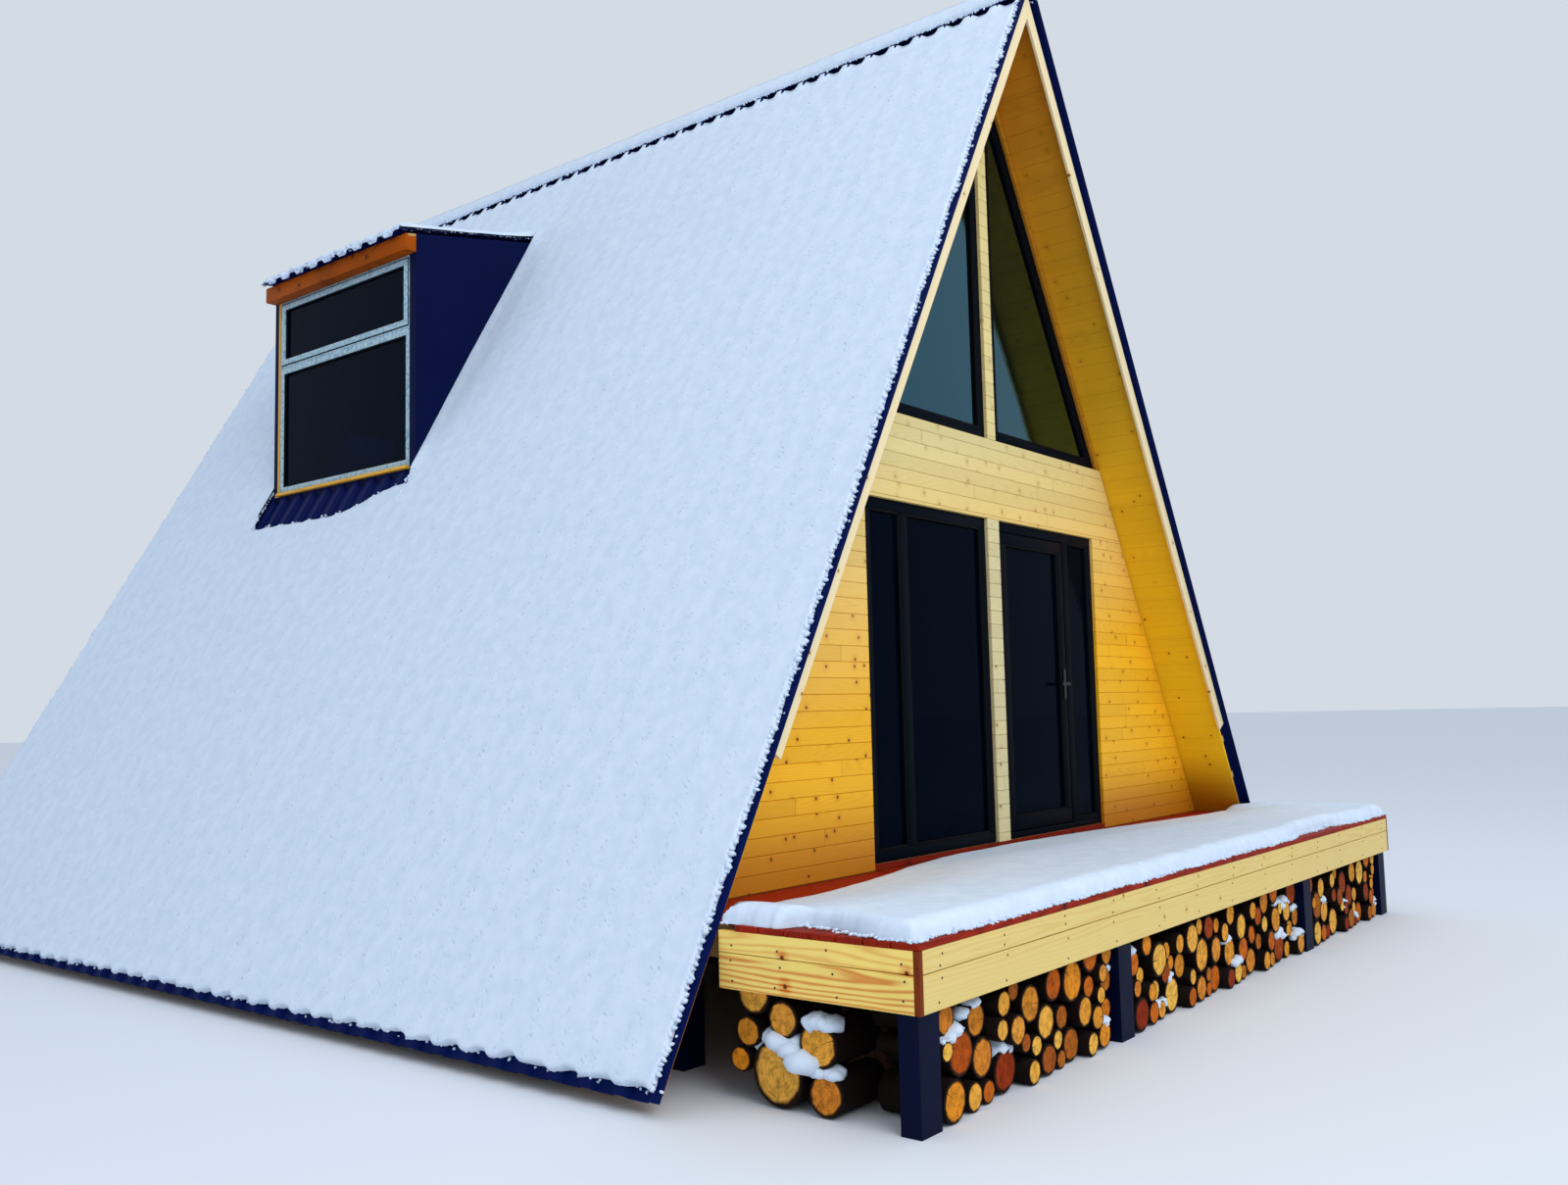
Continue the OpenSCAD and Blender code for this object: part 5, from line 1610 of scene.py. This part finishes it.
@dataclass
class Deck:
    """The deck: boards, fascias with their nails, corner trims, framing and posts."""

    size: Sizes
    bench: Bench
    pitch: float = 0.140
    gap: float = 0.006
    thick: float = 0.028
    rows: int = 11
    # Half lengths of the boards beside the roof and of the front fascia, and where the side fascias end.
    inner_half: float = 3.35
    front_half: float = 3.44
    back: float = -3.79
    # Heights of the two fascia boards.
    skirt: tuple[tuple[float, float], ...] = ((0.492, 0.648), (0.652, 0.747))

    def build(self) -> None:
        """Builds and coats the deck's pieces."""
        s, b, t = self.size, self.bench, self.thick
        front, edge, spans = s.deck_front, s.deck_half, []
        for y in (front + i * self.pitch for i in range(self.rows)):
            y1 = y + self.pitch - self.gap
            half = edge if y1 < self.back else self.inner_half
            spans.append(((-half, y, s.deck_top - t), (half, y1, s.deck_top)))
        b.finish("decking_boards", b.boards(spans, 0.004), "deck", "deck", ("deck_boards",))
        half = self.front_half
        boards = b.boards([((-half, front, a), (half, front + t, c)) for a, c in self.skirt], 0.003)
        b.finish("fascia_front_boards", boards, "fascia", "barge", ("fascia_front",))
        spans = [((x, front + t, a), (x + t, self.back, c)) for x in (-edge, edge - t) for a, c in self.skirt]
        boards = b.boards(spans, 0.003)
        b.finish("fascia_side_boards", boards, "fascia_side", "barge", ("fascia_sides",))
        self.nails()
        b.coat("trim", "deck_corner_trims")
        b.coat("beam_y", "deck_frame")
        b.coat("post", "deck_posts", "cabin_posts", "floor_beams")
        b.coat("beam_x", "floor_joists", "loft_joists")
        b.coat("floor", "ground_floor", "loft_floor")

    def nails(self) -> None:
        """Round nail heads along the fascias, in pairs over the framing."""
        s, b, draw, places = self.size, self.bench, random.uniform, []
        head = b.start("cylinder", vertices=10, radius=0.0055, depth=0.002)
        b.edit(head, partial(bpy.ops.mesh.bevel, offset=0.0006, segments=1, affect="EDGES"))

        def drive(spot: tuple, axis: str) -> None:
            """Notes one nail head that faces along an axis."""
            places.append(Matrix.Translation(spot) @ Matrix.Rotation(math.pi / 2, 4, axis))

        for x in np.arange(-3.3, 3.31, 0.55):
            for z in (0.675, 0.722, 0.620, 0.524):
                drive((x + draw(-0.03, 0.03), s.deck_front - 0.0005, z + draw(-0.008, 0.008)), "X")
        for y in (-4.78, -4.42, -4.12, -3.86):
            for z in (0.700, 0.620, 0.540):
                for x in (-s.deck_half - 0.0005, s.deck_half + 0.0005):
                    drive((x, y + draw(-0.03, 0.03), z + draw(-0.02, 0.02)), "Y")
        b.finish("fascia_nails", b.repeat(head, places), "nail", "trim")


@dataclass
class Firewood:
    """Logs under the deck: front stacks with their ends to the front, side stacks with theirs to the side."""

    bench: Bench
    length: float = 0.33

    def ends(self, node: str, axis: int, sign: int) -> list[tuple[Vector, float]]:
        """Finds the outer end faces of the logs in a CAD node.

        Args:
            node: The node's name.
            axis: The axis along which the logs lie.
            sign: Which way the outer ends face.

        Returns:
            (centre of the end, radius) of each log.
        """
        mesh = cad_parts[node].data
        root: dict[tuple, tuple] = {}

        def find(key: tuple) -> tuple:
            """Finds the group that a point belongs to.

            Args:
                key: The point.

            Returns:
                The point that stands for the group.
            """
            while root[key] != key:
                key = root[key]
            return key

        for face in mesh.polygons:
            if face.normal[axis] * sign < 0.99:
                continue
            keys = [tuple(round(c, 4) for c in mesh.vertices[k].co) for k in face.vertices]
            for key in keys:
                root.setdefault(key, key)
            for key in keys[1:]:
                root[find(key)] = find(keys[0])
        groups: dict[tuple, list[tuple]] = {}
        for key in root:
            groups.setdefault(find(key), []).append(key)
        found = []
        for points in groups.values():
            low, high = (Vector([pick(p[k] for p in points) for k in range(3)]) for pick in (min, max))
            found.append(((low + high) / 2, (high.z - low.z) / 2))
        return found

    def build(self) -> None:
        """Builds every stack, from one log of radius 1 and length 1 along Z with inset ends, and the snow on it."""
        b, caps = self.bench, []
        log = b.settle(b.start("cylinder", vertices=26, radius=1, depth=1, location=(0, 0, -0.5)))
        b.edit(log, partial(bpy.ops.mesh.inset, thickness=0.035), partial(bpy.ops.mesh.inset, thickness=0.03),
               faces=lambda face: abs(face.normal.z) > 0.9)
        for node in ("firewood_front_left", "firewood_front_middle", "firewood_front_right"):
            found, turn = self.ends(node, 1, -1), Matrix.Rotation(math.pi / 2, 3, "X")
            self.stack(node, log, [(c, r, turn) for c, r in found])
            caps += [(c + Vector((0, r * 0.55, 0)), r, 0.16) for c, r in found if c.z + r < 0.45]
        logs = []
        for sign in (-1, 1):
            found = [(c, r) for c, r in self.ends("firewood_sides", 0, sign) if c.x * sign > 3.3]
            logs += [(c, r, Matrix.Rotation(sign * math.pi / 2, 3, "Y")) for c, r in found]
            caps += [(c - Vector((sign * r * 0.3, 0, 0)), r, 0.95) for c, r in found if r > 0.08 and c.z + r < 0.43]
        self.stack("firewood_sides", log, logs)
        bpy.data.objects.remove(log)
        self.caps(caps)

    def stack(self, node: str, template: Object, logs: list[tuple]) -> None:
        """Lays one stack.

        Args:
            node: The CAD node that it replaces.
            template: The log template.
            logs: (end, radius, turn) of each log.
        """
        verts, faces, rings, tones = [], [], [], []
        for k, (end, radius, turn) in enumerate(logs):
            seed, start = 3.7 * k + len(logs), len(verts)
            tone, oval, spin = random.random(), random.uniform(0.90, 1.0), random.uniform(0, 6.28)
            for p in (v.co for v in template.data.vertices):
                angle, inner = math.atan2(p.y, p.x), math.hypot(p.x, p.y) < 0.99
                bumpy = 0.965 + 0.035 * rough(math.cos(angle) * 1.4, math.sin(angle) * 1.4, seed)
                r = radius * bumpy * (1 - (1 - oval) * math.cos(angle - spin) ** 2)
                sink = 0.0 if inner else math.copysign(0.003, p.z + 0.5)
                verts.append(end + turn @ Vector((p.x * r, p.y * r, p.z * self.length - sink)))
                rings += [p.x, p.y, 1.0 if inner else 0.0]
                tones.append(tone)
            faces += [tuple(start + v for v in f.vertices) for f in template.data.polygons]
        obj = self.bench.mesh(node + "_logs", [tuple(v) for v in verts], faces)
        obj.data.attributes.new("ring", "FLOAT_VECTOR", "POINT").data.foreach_set("vector", rings)
        obj.data.attributes.new("tone", "FLOAT", "POINT").data.foreach_set("value", tones)
        self.bench.finish(node + "_logs", obj, "logs", "bark", (node,), smooth=35)

    def caps(self, spots: list[tuple]) -> None:
        """Small caps of blown-in snow on some of the logs.

        Args:
            spots: (top of the log's axis, radius, chance) of each log.
        """
        draw, places = random.uniform, []
        for centre, radius, chance in spots:
            if random.random() > chance:
                continue
            # X runs across the ends that face the front, and Y across those that face a side.
            across = Vector((1, 0, 0)) if centre.y < -4.4 else Vector((0, 1, 0))
            for _ in range(random.randint(8, 11)):
                turn = random.gauss(0, 0.5)
                out = across * math.sin(turn) + Vector((0, 0, math.cos(turn)))
                spot = centre + out * radius * 0.93 + Vector((draw(-1, 1), draw(-1, 1), 0)) * radius * 0.3
                size = radius * draw(0.30, 0.56)
                places.append(Matrix.Translation(spot) @ Matrix.Diagonal((size * 1.1, size * 1.1, size * 0.7, 1.0)))
        if not places:
            return
        whole = self.bench.repeat(self.bench.start("ico_sphere", subdivisions=2, radius=1), places)
        for v in whole.data.vertices:
            v.co += v.normal * (0.014 * rough(*(v.co * 24)) + 0.009 * rough(*(v.co * 70)))
        self.bench.finish("snow_on_logs", whole, "snow", smooth=180)


@dataclass
class Stage:
    """Floor, light and camera."""

    eye: tuple[float, float, float] = (-8.000, -7.827, 1.7125)
    angles: tuple[float, float, float] = (51.465, 5.182, -1.363)
    lens: float = 30.37

    def build(self) -> None:
        """Makes the stage."""
        bpy.ops.mesh.primitive_plane_add(size=400, location=(0, 0, 0))
        floor = bpy.context.object
        floor.name = "stage_floor"
        mat = bpy.data.materials.new("pale_floor")
        mat.use_nodes = True
        for key, value in (("Base Color", "E4E9F1"), ("Roughness", 0.9)):
            feed(mat.node_tree.nodes["Principled BSDF"].inputs[key], value)
        floor.data.materials.append(mat)
        world = bpy.data.worlds.new("overcast")
        bpy.context.scene.world = world
        world.use_nodes = True
        for key, value in (("Color", "D8E0EA"), ("Strength", 0.95)):
            feed(world.node_tree.nodes["Background"].inputs[key], value)
        lamp = bpy.data.lights.new("soft_key", "AREA")
        lamp.energy, lamp.size = 1500.0, 12.0
        key = bpy.data.objects.new("soft_key", lamp)
        key.location = (-6, -16, 14)
        key.rotation_euler = (Vector((0, 0, 2)) - key.location).to_track_quat("-Z", "Y").to_euler()
        bpy.context.scene.collection.objects.link(key)
        bpy.context.scene.view_settings.view_transform = "Standard"
        self.camera()

    def camera(self) -> None:
        """Sets the camera where the photograph was taken from."""
        yaw, pitch, roll = (math.radians(a) for a in self.angles)
        look = Vector((math.sin(yaw) * math.cos(pitch), math.cos(yaw) * math.cos(pitch), math.sin(pitch)))
        right = Vector((math.cos(yaw), -math.sin(yaw), 0))
        up = right.cross(look)
        right, up = right * math.cos(roll) + up * math.sin(roll), up * math.cos(roll) - right * math.sin(roll)
        data = bpy.data.cameras.new("camera")
        data.lens, data.sensor_width, data.clip_end = self.lens, 36.0, 300
        cam = bpy.data.objects.new("camera", data)
        rows = [(right[k], up[k], -look[k], self.eye[k]) for k in range(3)]
        cam.matrix_world = Matrix((*rows, (0, 0, 0, 1)))
        bpy.context.scene.collection.objects.link(cam)
        bpy.context.scene.camera = cam


def main() -> None:
    """Builds the whole scene in order."""
    logging.basicConfig(level=logging.INFO, format="%(name)s %(message)s")
    random.seed(7)
    Stage().build()
    size, bench = Sizes(), Bench()
    for kind in (GableFront, Roof, BackGable, Dormer, Deck):
        kind(size, bench).build()
    Firewood(bench).build()
    Snow(size, bench).build()


if __name__ == "__main__":
    main()
